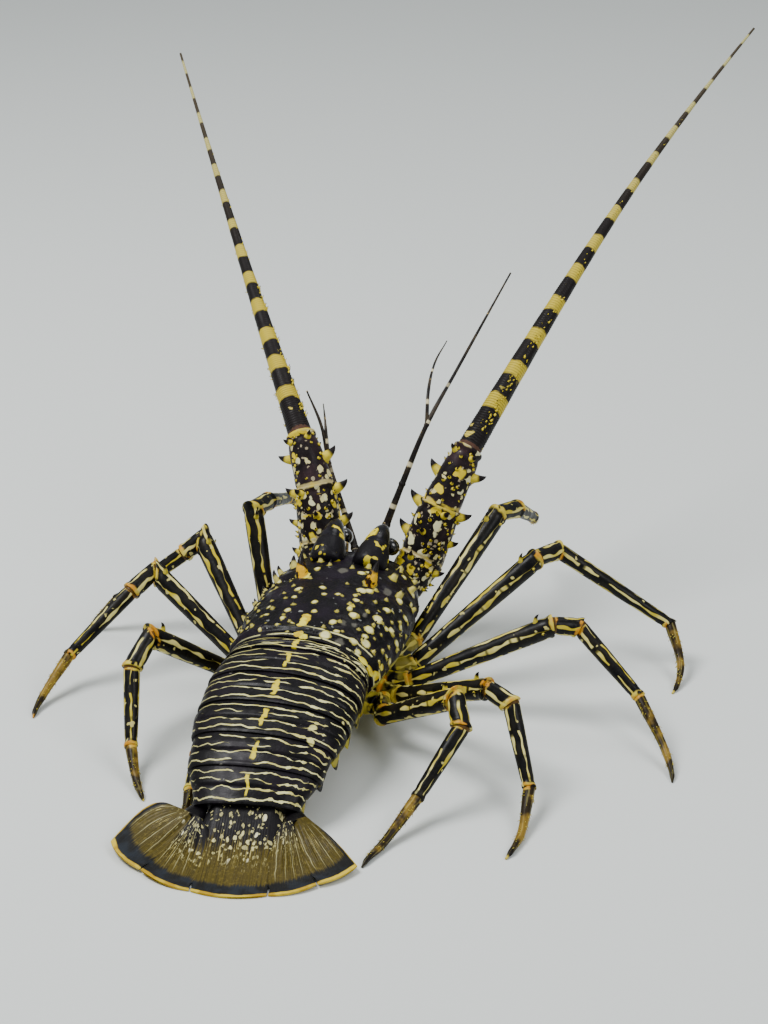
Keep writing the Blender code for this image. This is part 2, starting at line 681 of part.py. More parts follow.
def make_horn(word, side, finish, folder):
    """Spine over the eye that curves forward from its seat."""
    seat, direction = horn_frame(side)
    points = []
    radii = []
    for k in range(6):
        share = k / 5
        point = seat + direction * (GAP + (HORN_LENGTH - GAP) * share)
        point.z -= HORN_CURVE * share**2
        points.append(point)
        radius = HORN_TIP + (HORN_RADIUS - HORN_TIP) * (1 - share) ** HORN_BLUNT
        radii.append((radius, radius))
    add_object(f"horn_{word}", tube(points, radii, 10, direction, None), finish, folder)


def make_eye(word, finish, folder):
    """Short stalk that swells into the ball."""
    stalk = [Vector(point) for point in EYE_STALKS[word]]
    direction = (stalk[1] - stalk[0]).normalized()
    points = [stalk[0]]
    radii = [(2.6, 2.6)]
    for k in range(5):
        turn = math.pi * (0.2 + 0.75 * k / 4)
        radius = EYE_RADIUS * math.sin(turn)
        points.append(stalk[1] + direction * EYE_RADIUS * (1 - math.cos(turn)) * 0.9)
        radii.append((radius, radius))
    add_object(f"eye_{word}", tube(points, radii, 10, Vector((0, 1, 0)), None), finish, folder)


def centre_on_floor(folder):
    """Moves the model so that the origin is under the middle of its box, at the floor."""
    corners = [vertex.co for made in folder.objects for vertex in made.data.vertices]
    low = Vector([min(corner[k] for corner in corners) for k in range(3)])
    high = Vector([max(corner[k] for corner in corners) for k in range(3)])
    shift = Matrix.Translation((-(low.x + high.x) / 2, -(low.y + high.y) / 2, -low.z))
    for made in folder.objects:
        made.data.transform(shift)


def main():
    for old in list(bpy.data.objects):
        bpy.data.objects.remove(old)
    folder = bpy.data.collections.new("spiny_lobster")
    bpy.context.scene.collection.children.link(folder)
    shell = material("shell", (0.035, 0.028, 0.03), 0.4)
    legs = material("leg_shell", (0.05, 0.045, 0.02), 0.4)
    fan = material("fan_shell", (0.16, 0.1, 0.02), 0.45)
    horn = material("antenna_shell", (0.09, 0.05, 0.06), 0.45)
    eye = material("eye_ball", (0.01, 0.01, 0.012), 0.15)
    make_carapace(shell, folder)
    make_abdomen(shell, folder)
    make_tail_fan(fan, folder)
    make_sternum(legs, folder)
    for name, joints in LEGS.items():
        make_leg(name, joints, legs, folder)
    for word, joints in ANTENNAE.items():
        make_antenna(word, joints, horn, folder)
    for word, joints in ANTENNULES.items():
        make_antennule(word, joints, horn, folder)
    for word, side in (("right", 1), ("left", -1)):
        make_eye(word, eye, folder)
        make_horn(word, side, shell, folder)
        make_maxilliped(word, side, legs, folder)
    centre_on_floor(folder)


main()
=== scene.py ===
"""Looks of the spiny lobster: a painted, life-size museum model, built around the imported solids."""

import math
import random

import bmesh
import bpy
import numpy as np
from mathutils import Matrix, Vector


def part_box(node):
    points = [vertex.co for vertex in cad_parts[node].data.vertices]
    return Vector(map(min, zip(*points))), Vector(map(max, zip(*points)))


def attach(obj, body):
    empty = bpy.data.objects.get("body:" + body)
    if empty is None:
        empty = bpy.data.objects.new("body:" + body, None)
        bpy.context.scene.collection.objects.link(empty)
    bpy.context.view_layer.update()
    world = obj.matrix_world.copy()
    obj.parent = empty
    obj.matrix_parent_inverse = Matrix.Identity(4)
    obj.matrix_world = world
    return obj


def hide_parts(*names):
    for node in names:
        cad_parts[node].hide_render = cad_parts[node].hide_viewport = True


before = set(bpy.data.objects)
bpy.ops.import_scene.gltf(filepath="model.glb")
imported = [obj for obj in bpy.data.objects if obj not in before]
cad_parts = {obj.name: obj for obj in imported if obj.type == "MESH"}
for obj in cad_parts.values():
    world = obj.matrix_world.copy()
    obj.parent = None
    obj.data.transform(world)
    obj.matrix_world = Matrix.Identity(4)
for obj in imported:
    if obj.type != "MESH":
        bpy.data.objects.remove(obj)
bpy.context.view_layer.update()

# Where the model stands in the frame. The breastplate's rear edge lies 4 mm in front of the
# carapace's rear edge, on the middle line, and all sizes along the body are counted from there.
STERNUM_REAR = 0.004
sternum_low, sternum_high = (Vector(corner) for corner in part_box("sternum"))
BODY = Vector(((sternum_low.x + sternum_high.x) / 2, sternum_low.y - STERNUM_REAR, 0))


# Camera, behind the tail and a little to the right, looking down on the back. Its place, turn and view
# are those that lay the model over the animal in the photo.
CAMERA_PLACE = Vector((0.3160, -0.9907, 0.6047))
CAMERA_TURN = math.radians(15.464)
CAMERA_DIP = math.radians(25)
CAMERA_VIEW = math.radians(24)
SENSOR = 36
camera = bpy.data.cameras.new("camera")
camera.sensor_width = SENSOR
camera.lens = SENSOR / 2 / math.tan(CAMERA_VIEW / 2)
camera.clip_start = 0.01
camera_object = bpy.data.objects.new("camera", camera)
camera_object.location = BODY + CAMERA_PLACE
camera_object.rotation_euler = (math.pi / 2 - CAMERA_DIP, 0, CAMERA_TURN)
bpy.context.scene.collection.objects.link(camera_object)
bpy.context.scene.camera = camera_object


# Plain pale floor and soft studio light from above, with a large key light from the camera's left, a
# fill from its right and a weak light from behind.
FLOOR_HALF = 20
FLOOR_COLOUR = (0.7, 0.73, 0.71)
FLOOR_ROUGHNESS = 0.8
floor_mesh = bpy.data.meshes.new("floor")
corners = [(x * FLOOR_HALF, y * FLOOR_HALF, 0) for x, y in ((-1, -1), (1, -1), (1, 1), (-1, 1))]
floor_mesh.from_pydata(corners, [], [(0, 1, 2, 3)])
floor = bpy.data.objects.new("floor", floor_mesh)
bpy.context.scene.collection.objects.link(floor)
floor_finish = bpy.data.materials.new("floor")
floor_finish.use_nodes = True
floor_shader = floor_finish.node_tree.nodes["Principled BSDF"]
floor_shader.inputs["Base Color"].default_value = (*FLOOR_COLOUR, 1)
floor_shader.inputs["Roughness"].default_value = FLOOR_ROUGHNESS
floor_mesh.materials.append(floor_finish)

# Each light's place, width and power
LIGHTS = {
    "key": ((-0.7, -0.3, 1.5), 0.8, 30),
    "fill": ((1.2, -0.5, 1.2), 0.9, 11),
    "back": ((0.3, 1.0, 1.7), 0.9, 7),
}
SKY_COLOUR = (0.85, 0.9, 0.92)
SKY_STRENGTH = 0.42
for name, (place, size, power) in LIGHTS.items():
    lamp = bpy.data.lights.new(name, "AREA")
    lamp.shape = "DISK"
    lamp.size = size
    lamp.energy = power
    lamp_object = bpy.data.objects.new(name, lamp)
    lamp_object.location = place
    lamp_object.rotation_euler = (-Vector(place)).to_track_quat("-Z", "Y").to_euler()
    bpy.context.scene.collection.objects.link(lamp_object)
world = bpy.data.worlds.new("studio")
world.use_nodes = True
world.node_tree.nodes["Background"].inputs["Color"].default_value = (*SKY_COLOUR, 1)
world.node_tree.nodes["Background"].inputs["Strength"].default_value = SKY_STRENGTH
bpy.context.scene.world = world


# Carapace: the arched shield with its neck groove, the grooves along its rear edge, a low bump under
# each spot, the thorns, and the seats of the horns. The mesh keeps each point's distance to the marks,
# and the finish draws the marks from it.
MM = 0.001
UP = Vector((0, 0, 1))
SHELL_GLOSS = 0.13
COAT_ROUGHNESS = 0.2
CARAPACE_LENGTH = 104
CARAPACE_REAR = -4
CARAPACE_HALF_WIDTH = ((0, 37), (0.12, 39), (0.4, 41), (0.62, 40.5), (0.8, 38.5), (0.92, 35), (1, 31.5))
CARAPACE_TOP = (
    (0, 54.5), (0.08, 56.5), (0.35, 59), (0.55, 58.5), (0.6, 57), (0.66, 58.2), (0.85, 56), (1, 52),
)
CARAPACE_SIDE = ((0, 33), (0.5, 32), (1, 33))
CARAPACE_EDGE = ((0, 24), (0.15, 22.5), (1, 22))
CARAPACE_EDGE_HALF = ((0, 30), (0.3, 34), (0.8, 30), (1, 24))
ARCH_POWER = 0.9
WALL_TURN = 130
UNDER_TURN = 150
WALL_FADE = 10
CARAPACE_ROWS = 150
CARAPACE_COLUMNS = 400
# Neck groove: its share of the length, its sweep forward down the sides, its depth and width
NECK_GROOVE = (0.56, 0.17, 1.3, 1.5)
NECK_END = 105
NECK_FADE = 30
# Grooves and ridges along the rear edge, as (share of the length, height, width)
REAR_FOLDS = ((0.047, -0.9, 1.3), (0.11, -0.35, 1.5), (0.018, 0.45, 0.9), (0.078, 0.45, 1.0))
SIDE_GROOVE = (96, 0.5, 2.5)
SPOT_BUMP = 0.55
THORN_SWELL = 0.7
SHELL_WAVE = 0.25

# Spots and yellow marks, as (share of its length, degrees from the middle to the right, radius)
CREAM_SPOTS = (
    (0.82, -21, 2.4), (0.66, -14, 1.8), (0.42, -17, 2.3), (0.45, -2, 1.9), (0.38, 1, 1.6), (0.4, 9, 1.7),
    (0.29, -1, 1.8), (0.33, -16, 1.6), (0.21, -16, 2.0), (0.22, 1, 1.5), (0.14, -17, 1.6), (0.04, -9, 1.1),
    (0.1, -8, 1.2), (0.05, 16, 2.9), (0.1, 22, 1.9), (0.16, 16, 2.1), (0.5, 22, 2.9), (0.52, 27, 2.2),
    (0.39, 23, 2.0), (0.43, 20, 1.2), (0.3, 22, 1.7), (0.26, 27, 2.5), (0.33, 47, 3.3), (0.22, 45, 2.8),
    (0.12, 49, 3.0), (0.16, 45, 1.9), (0.08, 39, 2.4), (0.04, 48, 2.1), (0.34, 64, 2.6), (0.32, 58, 1.6),
    (0.44, 48, 2.1), (0.47, 53, 1.5), (0.61, 54, 2.3), (0.54, 70, 2.0), (0.44, 70, 1.7), (0.42, 76, 1.3),
    (0.33, 77, 2.3), (0.77, 66, 2.2), (0.69, 70, 1.6), (0.19, 77, 1.5), (0.22, 86, 1.9), (0.42, 88, 1.3),
    (0.67, 15, 2.2), (0.7, 19, 1.6), (0.83, 29, 2.0), (0.75, 40, 2.0), (0.85, 50, 1.7), (0.93, 60, 1.6),
    (0.26, -34, 1.5), (0.19, -33, 1.4), (0.08, -18, 1.2), (0.06, -33, 1.3), (0.55, -30, 1.4),
    (0.62, -48, 1.6), (0.47, -45, 1.3), (0.36, -52, 1.4), (0.24, -58, 1.3), (0.13, -50, 1.2),
    (0.72, -50, 1.6), (0.86, -45, 1.5),
)
YELLOW_MARKS = (
    (0.6, -22, 3.6), (0.63, -25, 2.6), (0.17, -1.5, 2.5), (0.145, -1.5, 2.6), (0.12, -1.5, 2.4),
    (0.095, -1.5, 2.6), (0.03, -1, 2.6), (0.015, 2, 2.2), (0.33, 22, 1.6), (0.02, 58, 2.8),
    (0.02, 72, 3.0), (0.05, 84, 2.8), (0.12, 81, 1.8), (0.1, 76, 1.6), (0.66, 26, 1.7), (0.62, 25, 1.9),
    (0.9, -25, 1.8), (0.93, 24, 2.0), (0.7, -72, 2.2), (0.5, -78, 2.0), (0.3, -80, 2.0),
)
PALE_PATCHES = (
    (0.18, 23, 1.9), (0.2, 32, 1.6), (0.04, 29, 2.4), (0.67, 2, 2.6), (0.72, -8, 1.6), (0.3, 35, 1.5),
    (0.62, 40, 2.2),
)
BARE_PATCHES = ((0.49, 34, 8), (0.09, 63, 6), (0.74, 2, 8), (0.56, 5, 6), (0.27, 12, 4))

FRONT_THORNS = (
    (0.61, 24, 13), (0.76, 17, 5.5), (0.74, 40, 8), (0.88, 44, 7), (0.9, 66, 6),
    (0.78, 62, 7), (0.64, 52, 6.5), (0.66, 74, 5), (0.7, 7, 4),
)
REAR_THORN_ROWS = (0.11, 0.18, 0.25, 0.32, 0.39, 0.46, 0.53)
REAR_THORN_TURNS = (13, 29, 45, 60, 74)
REAR_THORN_LENGTH = (2.2, 3.8)
REAR_THORN_STAGGER = 7
REAR_THORN_SEED = 7
THORN_ROOT = 0.27
THORN_SIDES = 14
THORN_RINGS = 9
THORN_SUNK = 0.3
THORN_TIP = 0.1

HORN_SEAT = (12, 92.5, 60.2)
HORN_SPLAY = 0.05
HORN_SIDES = 32
# Seat of a horn, as (distance along the horn from its root, radius)
SEAT_SLICES = (
    (-15.6, 4), (-15.4, 6.4), (-14.6, 8.2), (-13, 9.2), (-11, 9.4), (-8, 9.1),
    (-5, 8.6), (-2.5, 8.0), (-1, 7.5), (-0.2, 7.2), (0, 6.8),
)
# Where no mark is near, how far away it counts as, and the value of points off the thorns
FAR = 9.0
OFF_THORN = -0.5
# Kinds of carapace part
SMALL_THORN, LARGE_THORN, SEAT = range(3)
LARGE_THORN_LENGTH = 10
HORN_PITCH = math.radians(30)
HORN_RADIUS = 7.2


def along(share, knots):
    """Value at this share of a length, eased between the knots on either side."""
    for (low, first), (high, second) in zip(knots, knots[1:]):
        if share <= high:
            part = max(0, (share - low) / (high - low))
            part = part * part * (3 - 2 * part)
            return first + (second - first) * part
    return knots[-1][1]


def net(points):
    """Faces of a closed skin over rings of points, with a cap at each end."""
    rows, columns = len(points), len(points[0])
    faces = []
    for start in range(0, (rows - 1) * columns, columns):
        for c in range(columns):
            d = (c + 1) % columns
            faces.append((start + c, start + d, start + columns + d, start + columns + c))
    faces.append(tuple(range(columns))[::-1])
    faces.append(tuple((rows - 1) * columns + c for c in range(columns)))
    return faces


def make_piece(name, parts, finish, nodes, sharp=50, bristles=None):
    """Joins the parts, each its points in millimetres, its faces and its named values, into one piece."""
    mesh = bpy.data.meshes.new(name)
    points = np.concatenate([np.reshape(part[0], (-1, 3)) for part in parts])
    faces = []
    start = 0
    for part in parts:
        faces += [[start + corner for corner in face] for face in part[1]]
        start += np.size(part[0]) // 3
    mesh.from_pydata(points * MM + np.array(BODY), [], faces)
    for key in parts[0][2]:
        values = [np.asarray(part[2][key], float).reshape(np.size(part[0]) // 3, -1) for part in parts]
        values = np.concatenate(values)
        kind = "FLOAT" if values.shape[1] == 1 else "FLOAT_VECTOR"
        layer = mesh.attributes.new(key, kind, "POINT")
        layer.data.foreach_set("value" if kind == "FLOAT" else "vector", values.astype(np.float32).ravel())
    bm = bmesh.new()
    bm.from_mesh(mesh)
    bmesh.ops.recalc_face_normals(bm, faces=bm.faces)
    bm.to_mesh(mesh)
    bm.free()
    mesh.shade_smooth()
    mesh.set_sharp_from_angle(angle=math.radians(sharp))
    mesh.materials.append(finish.material)
    made = bpy.data.objects.new(name, mesh)
    bpy.context.scene.collection.objects.link(made)
    if bristles:
        grow_bristles(made, finish.material, bristles)
    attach(made, "root")
    if nodes:
        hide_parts(*nodes)
    return made


class Field:
    """Number or colour that varies over a surface: the output of a node, with arithmetic on it."""

    def __init__(self, socket):
        self.socket = socket
        self.tree = socket.id_data

    def __add__(self, other):
        return calc("ADD", self, other)

    def __radd__(self, other):
        return calc("ADD", other, self)

    def __sub__(self, other):
        return calc("SUBTRACT", self, other)

    def __mul__(self, other):
        return calc("MULTIPLY", self, other)

    def __truediv__(self, other):
        return calc("DIVIDE", self, other)

    def __abs__(self):
        return calc("ABSOLUTE", self)


class Finish:
    """Material of a piece: constant sockets are set here, and paint feeds the ones that vary."""

    def __init__(self, name, coat, gloss=SHELL_GLOSS):
        self.material = bpy.data.materials.new(name)
        self.material.use_nodes = True
        self.tree = self.material.node_tree
        self.shader = self.tree.nodes["Principled BSDF"]
        self.shader.inputs["Coat Weight"].default_value = coat
        self.shader.inputs["Coat Roughness"].default_value = COAT_ROUGHNESS
        self.shader.inputs["Specular IOR Level"].default_value = gloss
        self.where = field(self.tree, "ShaderNodeTexCoord", {}, "Object")

    def value(self, name):
        """Named number on the mesh."""
        return field(self.tree, "ShaderNodeAttribute", {}, "Fac", attribute_name=name)

    def parts(self, name):
        """The three parts of a named vector on the mesh."""
        vector = field(self.tree, "ShaderNodeAttribute", {}, "Vector", attribute_name=name)
        node = put(self.tree, "ShaderNodeSeparateXYZ", {0: vector})
        return [Field(output) for output in node.outputs]

    def paint(self, colour, smooth, rough, scale=400.0, pits=0.0, raised=0.0, strength=0.4, depth=0.0003):
        """Feeds the shader its colour, its roughness between smooth and rough, and its relief."""
        values = {"Position": self.where, "Scale": scale, "Pits": pits, "Raised": raised}
        values |= {"Smooth": smooth, "Rough": rough}
        surface = put(self.tree, "ShaderNodeGroup", values, node_tree=shell_relief).outputs
        relief = {"Height": Field(surface["Height"]), "Strength": strength, "Distance": depth}
        bump = put(self.tree, "ShaderNodeBump", relief)
        self.tree.links.new(colour.socket, self.shader.inputs["Base Color"])
        self.tree.links.new(bump.outputs[0], self.shader.inputs["Normal"])
        self.tree.links.new(surface["Roughness"], self.shader.inputs["Roughness"])


def put(tree, kind, values, **settings):
    """Adds a node. Each value is a number, a colour or the field that feeds that input."""
    node = tree.nodes.new(kind)
    for key, value in settings.items():
        setattr(node, key, value)
    for key, value in values.items():
        if isinstance(value, Field):
            tree.links.new(value.socket, node.inputs[key])
        else:
            node.inputs[key].default_value = value
    return node


def field(tree, kind, values, output=0, **settings):
    """Adds a node and gives one of its outputs."""
    return Field(put(tree, kind, values, **settings).outputs[output])


def calc(operation, *values):
    """Output of a Math node."""
    tree = next(value.tree for value in values if isinstance(value, Field))
    return field(tree, "ShaderNodeMath", dict(enumerate(values)), operation=operation)


def blend(share, first, second):
    """Colour between two colours."""
    first, second = (value if isinstance(value, Field) else (*value, 1) for value in (first, second))
    return field(share.tree, "ShaderNodeMix", {0: share, 6: first, 7: second}, 2, data_type="RGBA")


def ease(value, low, high):
    """0 where the value is at low, 1 at high, and smooth between."""
    flipped = low > high
    values = {0: value, 1: min(low, high), 2: max(low, high), 3: 1.0 * flipped, 4: 1.0 - flipped}
    return field(value.tree, "ShaderNodeMapRange", values, interpolation_type="SMOOTHSTEP")


def band(value, centre, half, soft):
    """1 within half of the centre, falling to 0 over the soft edge."""
    return ease(abs(value - centre) - half, soft / 2, -soft / 2)


def cloud(vector, scale, detail=2.0):
    """Noise from about 0.3 to 0.7, in cells of one over the scale."""
    return field(vector.tree, "ShaderNodeTexNoise", {"Vector": vector, "Scale": scale, "Detail": detail})


def mottle(vector, scale, low, high, first, second, detail=2.0):
    """Colour that drifts in patches between two colours."""
    return blend(ease(cloud(vector, scale, detail), low, high), first, second)


def span_of(x, y, z):
    """Place in a flat pattern, from up to three fields."""
    return field(x.tree, "ShaderNodeCombineXYZ", {0: x, 1: y, 2: z})


def new_group(name, inputs):
    """Shader node group and the fields that its inputs come in by."""
    group = bpy.data.node_groups.new(name, "ShaderNodeTree")
    for key, kind in inputs.items():
        group.interface.new_socket(name=key, in_out="INPUT", socket_type="NodeSocket" + kind)
    given = put(group, "NodeGroupInput", {}).outputs
    return group, {key: Field(given[key]) for key in inputs}


def close_group(group, results):
    """Gives the group its outputs, each a field of the kind that its socket has."""
    for key, result in results.items():
        kind = "NodeSocketColor" if result.socket.type == "RGBA" else "NodeSocketFloat"
        group.interface.new_socket(name=key, in_out="OUTPUT", socket_type=kind)
    put(group, "NodeGroupOutput", results)


def shield_point(share, degrees):
    """Point of the shield: over the back to 90 degrees, down the wall to WALL_TURN, then underneath."""
    half, side = along(share, CARAPACE_HALF_WIDTH), along(share, CARAPACE_SIDE)
    edge_half, edge = along(share, CARAPACE_EDGE_HALF), along(share, CARAPACE_EDGE)
    away = abs(degrees)
    if away <= 90:
        turn = math.radians(90 - away)
        across = half * math.cos(turn) ** ARCH_POWER
        height = side + (along(share, CARAPACE_TOP) - side) * math.sin(turn) ** ARCH_POWER
    elif away <= WALL_TURN:
        part = (away - 90) / (WALL_TURN - 90)
        across = half + (edge_half - half) * part**1.6
        height = side + (edge - side) * part
    else:
        part = (away - WALL_TURN) / (UNDER_TURN - WALL_TURN)
        across = edge_half * (1 - part)
        height = edge + 1.5 * part
    return (math.copysign(across, degrees), CARAPACE_REAR + CARAPACE_LENGTH * share, height)


def circle(middle, first, second, radius, sides):
    """Points round the middle, from the first direction toward the second."""
    turns = [math.tau * i / sides for i in range(sides)]
    return [middle + (first * math.cos(turn) + second * math.sin(turn)) * radius for turn in turns]


def hill(away, width):
    """1 at no distance, falling softly to 0 past about twice the width."""
    return np.exp(-((away / width) ** 2))


def thorn_part(root, outward, lean, length, width=1.0, steepness=1.0):
    """Curved cone that rises outward and bends the way that it leans: points, faces and heights."""
    first = lean.cross(outward).normalized()
    tip = root + (outward + lean * steepness).normalized() * length
    bend = root + (outward * 0.55 + lean * 0.15) * length
    low = root - outward * length * THORN_SUNK
    rows = []
    heights = []
    for k in range(THORN_RINGS):
        part = k / (THORN_RINGS - 1)
        middle = low * (1 - part) ** 2 + bend * 2 * part * (1 - part) + tip * part**2
        run = ((bend - low) * (1 - part) + (tip - bend) * part).normalized()
        second = run.cross(first)
        radius = length * THORN_ROOT * width * 1.1 * (1 - part) ** 0.8 + THORN_TIP
        rows.append(circle(middle, first, second, radius, THORN_SIDES))
        heights += [part] * THORN_SIDES
    return np.array(rows), net(rows), heights


# Rounding of the shield's two ends: their middles, and the front's rows as (share inward, forward)
FRONT_MIDDLE = np.array((0, 0, 40))
REAR_MIDDLE = np.array((0, 0, 34))
FRONT_ROUNDING = ((0.03, 0.25), (0.1, 0.28))

# Points of the shield, its outward directions, and the relief of its grooves, ridges and bumps
shares = np.linspace(0, 1, CARAPACE_ROWS)
degrees = np.linspace(-UNDER_TURN, UNDER_TURN, CARAPACE_COLUMNS + 1)[:-1]
shield = np.array([[shield_point(share, turn) for turn in degrees] for share in shares])
outward = np.cross(np.gradient(shield, axis=1), np.gradient(shield, axis=0))
outward /= np.linalg.norm(outward, axis=2, keepdims=True)
outward *= np.sign(outward[:, CARAPACE_COLUMNS // 2, 2].mean())
lengths = shares[:, None] * CARAPACE_LENGTH
turns = np.abs(degrees)[None, :]
upper = np.clip((WALL_TURN - turns) / WALL_FADE, 0, 1)
relief = np.zeros(shield.shape[:2])
neck_start, neck_curve, neck_depth, neck_width = NECK_GROOVE
neck_at = (neck_start + neck_curve * (turns / 90) ** 1.6) * CARAPACE_LENGTH
relief -= neck_depth * hill(lengths - neck_at, neck_width) * np.clip((NECK_END - turns) / NECK_FADE, 0, 1)
for at, height, width in REAR_FOLDS:
    relief += height * hill(lengths - at * CARAPACE_LENGTH, width) * upper
at, depth, width = SIDE_GROOVE
relief -= depth * hill(turns - at, width)


def nearest_mark(points, marks):
    """Distance from each point to the rim of the nearest mark, less than zero inside it."""
    nearest = np.full(points.shape[:-1], FAR)
    for share, turn, radius in marks:
        away = np.linalg.norm(points - np.array(shield_point(share, turn)), axis=-1)
        nearest = np.minimum(nearest, away - radius)
    return nearest


thorn_places = [(share, side * turn, length) for side in (1, -1) for share, turn, length in FRONT_THORNS]
draw = random.Random(REAR_THORN_SEED)
for number, share in enumerate(REAR_THORN_ROWS):
    for turn in REAR_THORN_TURNS:
        for side in (1, -1):
            jittered = turn + (number % 2) * REAR_THORN_STAGGER + draw.uniform(-3, 3)
            at = share + draw.uniform(-0.015, 0.015)
            thorn_places.append((at, side * jittered, draw.uniform(*REAR_THORN_LENGTH)))

thorn_roots = [(share, turn, length * THORN_ROOT) for share, turn, length in thorn_places]
fields = {
    "cream": nearest_mark(shield, CREAM_SPOTS),
    "yellow": nearest_mark(shield, YELLOW_MARKS),
    "pale": nearest_mark(shield, PALE_PATCHES),
    "bare": nearest_mark(shield, BARE_PATCHES),
    "root": nearest_mark(shield, thorn_roots),
}
relief += SPOT_BUMP * hill(np.clip(fields["cream"] + 1.5, 0, FAR), 1.6) * upper
relief += THORN_SWELL * hill(np.clip(fields["root"], 0, FAR), 1.5) * upper
relief += SHELL_WAVE * np.sin(shield[..., 0] * 0.31 + 1) * np.sin(shield[..., 1] * 0.27) * upper
shield += outward * relief[..., None]
front = [shield[-1] + (FRONT_MIDDLE - shield[-1]) * inset + (0, reach, 0) for inset, reach in FRONT_ROUNDING]
rear = [shield[0] + (REAR_MIDDLE - shield[0]) * 0.05 + (0, 0.2, 0)]
shield = np.concatenate([rear, shield, front])
rows = np.concatenate([[0], np.arange(CARAPACE_ROWS), [CARAPACE_ROWS - 1] * 2])
values = {key: field[rows] for key, field in fields.items()}
values["place"] = np.stack(np.broadcast_arrays(degrees[None, :] / 90, lengths[rows], 0.0), axis=-1)
values["thorn"] = np.full(shield.shape[:2], OFF_THORN)
carapace_parts = [(shield, net(shield), values)]


def plain_values(count, place, heights):
    """The values that a part away from the shield needs, with every mark far off."""
    made = {key: np.full(count, FAR) for key in fields}
    made["place"] = np.tile(place, (count, 1))
    made["thorn"] = heights
    return made


for share, turn, length in thorn_places:
    root = Vector(shield_point(share, turn))
    forward = Vector(shield_point(min(1, share + 0.02), turn)) - Vector(shield_point(share - 0.02, turn))
    forward.normalize()
    around = (Vector(shield_point(share, turn - 2)) - Vector(shield_point(share, turn + 2))).normalized()
    points, faces, heights = thorn_part(root, forward.cross(around).normalized(), forward, length)
    place = (turn / 90, share * CARAPACE_LENGTH, LARGE_THORN if length > LARGE_THORN_LENGTH else SMALL_THORN)
    carapace_parts.append((points, faces, plain_values(len(heights), place, heights)))


def horn_axes(side):
    """Root of a horn, the way that it points, and two directions across it."""
    direction = Vector((side * HORN_SPLAY, math.cos(HORN_PITCH), math.sin(HORN_PITCH))).normalized()
    across = direction.cross(UP).normalized()
    seat = Vector((side * HORN_SEAT[0], HORN_SEAT[1], HORN_SEAT[2]))
    return seat, direction, across, across.cross(direction)


for side in (1, -1):
    seat, direction, across, upward = horn_axes(side)
    rows = []
    for reach, radius in SEAT_SLICES:
        rows.append(circle(seat + direction * reach, across, upward, radius, HORN_SIDES))
    heights = [OFF_THORN] * HORN_SIDES * len(rows)
    values = plain_values(len(heights), (side * 0.25, 88, SEAT), heights)
    carapace_parts.append((np.array(rows), net(rows), values))


# Effects that the finishes share: the near black shell, scattered dots, and the relief and roughness
wet_black, given = new_group(
    "wet_black", {"Position": "Vector", "Scale": "Float", "Deep": "Color", "Lit": "Color", "Grain": "Color"}
)
tone = blend(ease(cloud(given["Position"], given["Scale"], 3.0), 0.42, 0.7), given["Deep"], given["Lit"])
grain_share = ease(cloud(given["Position"], 900.0, 3.0), 0.57, 0.77) * 0.4
close_group(wet_black, {"Colour": blend(grain_share, tone, given["Grain"])})

scattered_dots, given = new_group(
    "scattered_dots", {"Position": "Vector", "Scale": "Float", "Size": "Float", "Chosen": "Float"}
)
scaled = {0: given["Position"], "Scale": given["Scale"]}
scaled = field(scattered_dots, "ShaderNodeVectorMath", scaled, operation="SCALE")
bent = field(scattered_dots, "ShaderNodeTexNoise", {"Vector": scaled, "Scale": 1.3, "Detail": 1.0}, "Color")
bent = field(scattered_dots, "ShaderNodeVectorMath", {0: bent, "Scale": 0.9}, operation="SCALE")
bent = field(scattered_dots, "ShaderNodeVectorMath", {0: scaled, 1: bent}, operation="ADD")
cells = put(scattered_dots, "ShaderNodeTexVoronoi", {"Vector": bent, "Scale": 1.0}).outputs
chance = put(scattered_dots, "ShaderNodeSeparateXYZ", {0: Field(cells["Color"])}).outputs
reach = given["Size"] * (Field(chance[0]) + 0.5)
dot = ease(Field(cells["Distance"]) - reach, 0.04, -0.04)
close_group(scattered_dots, {"Mask": dot * calc("LESS_THAN", Field(chance[1]), given["Chosen"])})

shell_relief, given = new_group(
    "shell_relief",
    {
        "Position": "Vector", "Scale": "Float", "Pits": "Float", "Raised": "Float",
        "Smooth": "Float", "Rough": "Float",
    },
)
pits = {"Vector": given["Position"], "Scale": 900.0}
pits = field(shell_relief, "ShaderNodeTexVoronoi", pits, "Distance", feature="SMOOTH_F1")
height = pits * given["Pits"] + cloud(given["Position"], given["Scale"], 4.0) + given["Raised"]
wear = ease(cloud(given["Position"], 210.0, 3.0), 0.32, 0.68)
wear = wear * (given["Rough"] - given["Smooth"]) + given["Smooth"]
close_group(shell_relief, {"Height": height, "Roughness": wear})


def black_shell(where, scale, deep, lit, grain):
    """Colour of the near black shell."""
    values = {"Position": where, "Scale": scale, "Deep": (*deep, 1), "Lit": (*lit, 1), "Grain": (*grain, 1)}
    return field(where.tree, "ShaderNodeGroup", values, "Colour", node_tree=wet_black)


def dots(where, scale, size, chosen):
    """Mask of uneven dots in the chosen share of the cells."""
    values = {"Position": where, "Scale": scale, "Size": size, "Chosen": chosen}
    return field(where.tree, "ShaderNodeGroup", values, "Mask", node_tree=scattered_dots)


# Finish of the carapace: near black with a purple cast, small blue white flecks, cream spots, yellow
# marks and thorn roots, two pale arcs along the rear edge and an olive yellow lower wall
shell = Finish("carapace_shell", 0.06)
where = shell.where
turn, length, kind = shell.parts("place")
cream = shell.value("cream")
yellow = shell.value("yellow")
pale = shell.value("pale")
bare = shell.value("bare")
root = shell.value("root")
height = shell.value("thorn")
rough = (cloud(where, 420.0) - 0.5) * 2.4
colour = black_shell(where, 60.0, (0.002, 0.0015, 0.002), (0.01, 0.006, 0.012), (0.034, 0.028, 0.036))
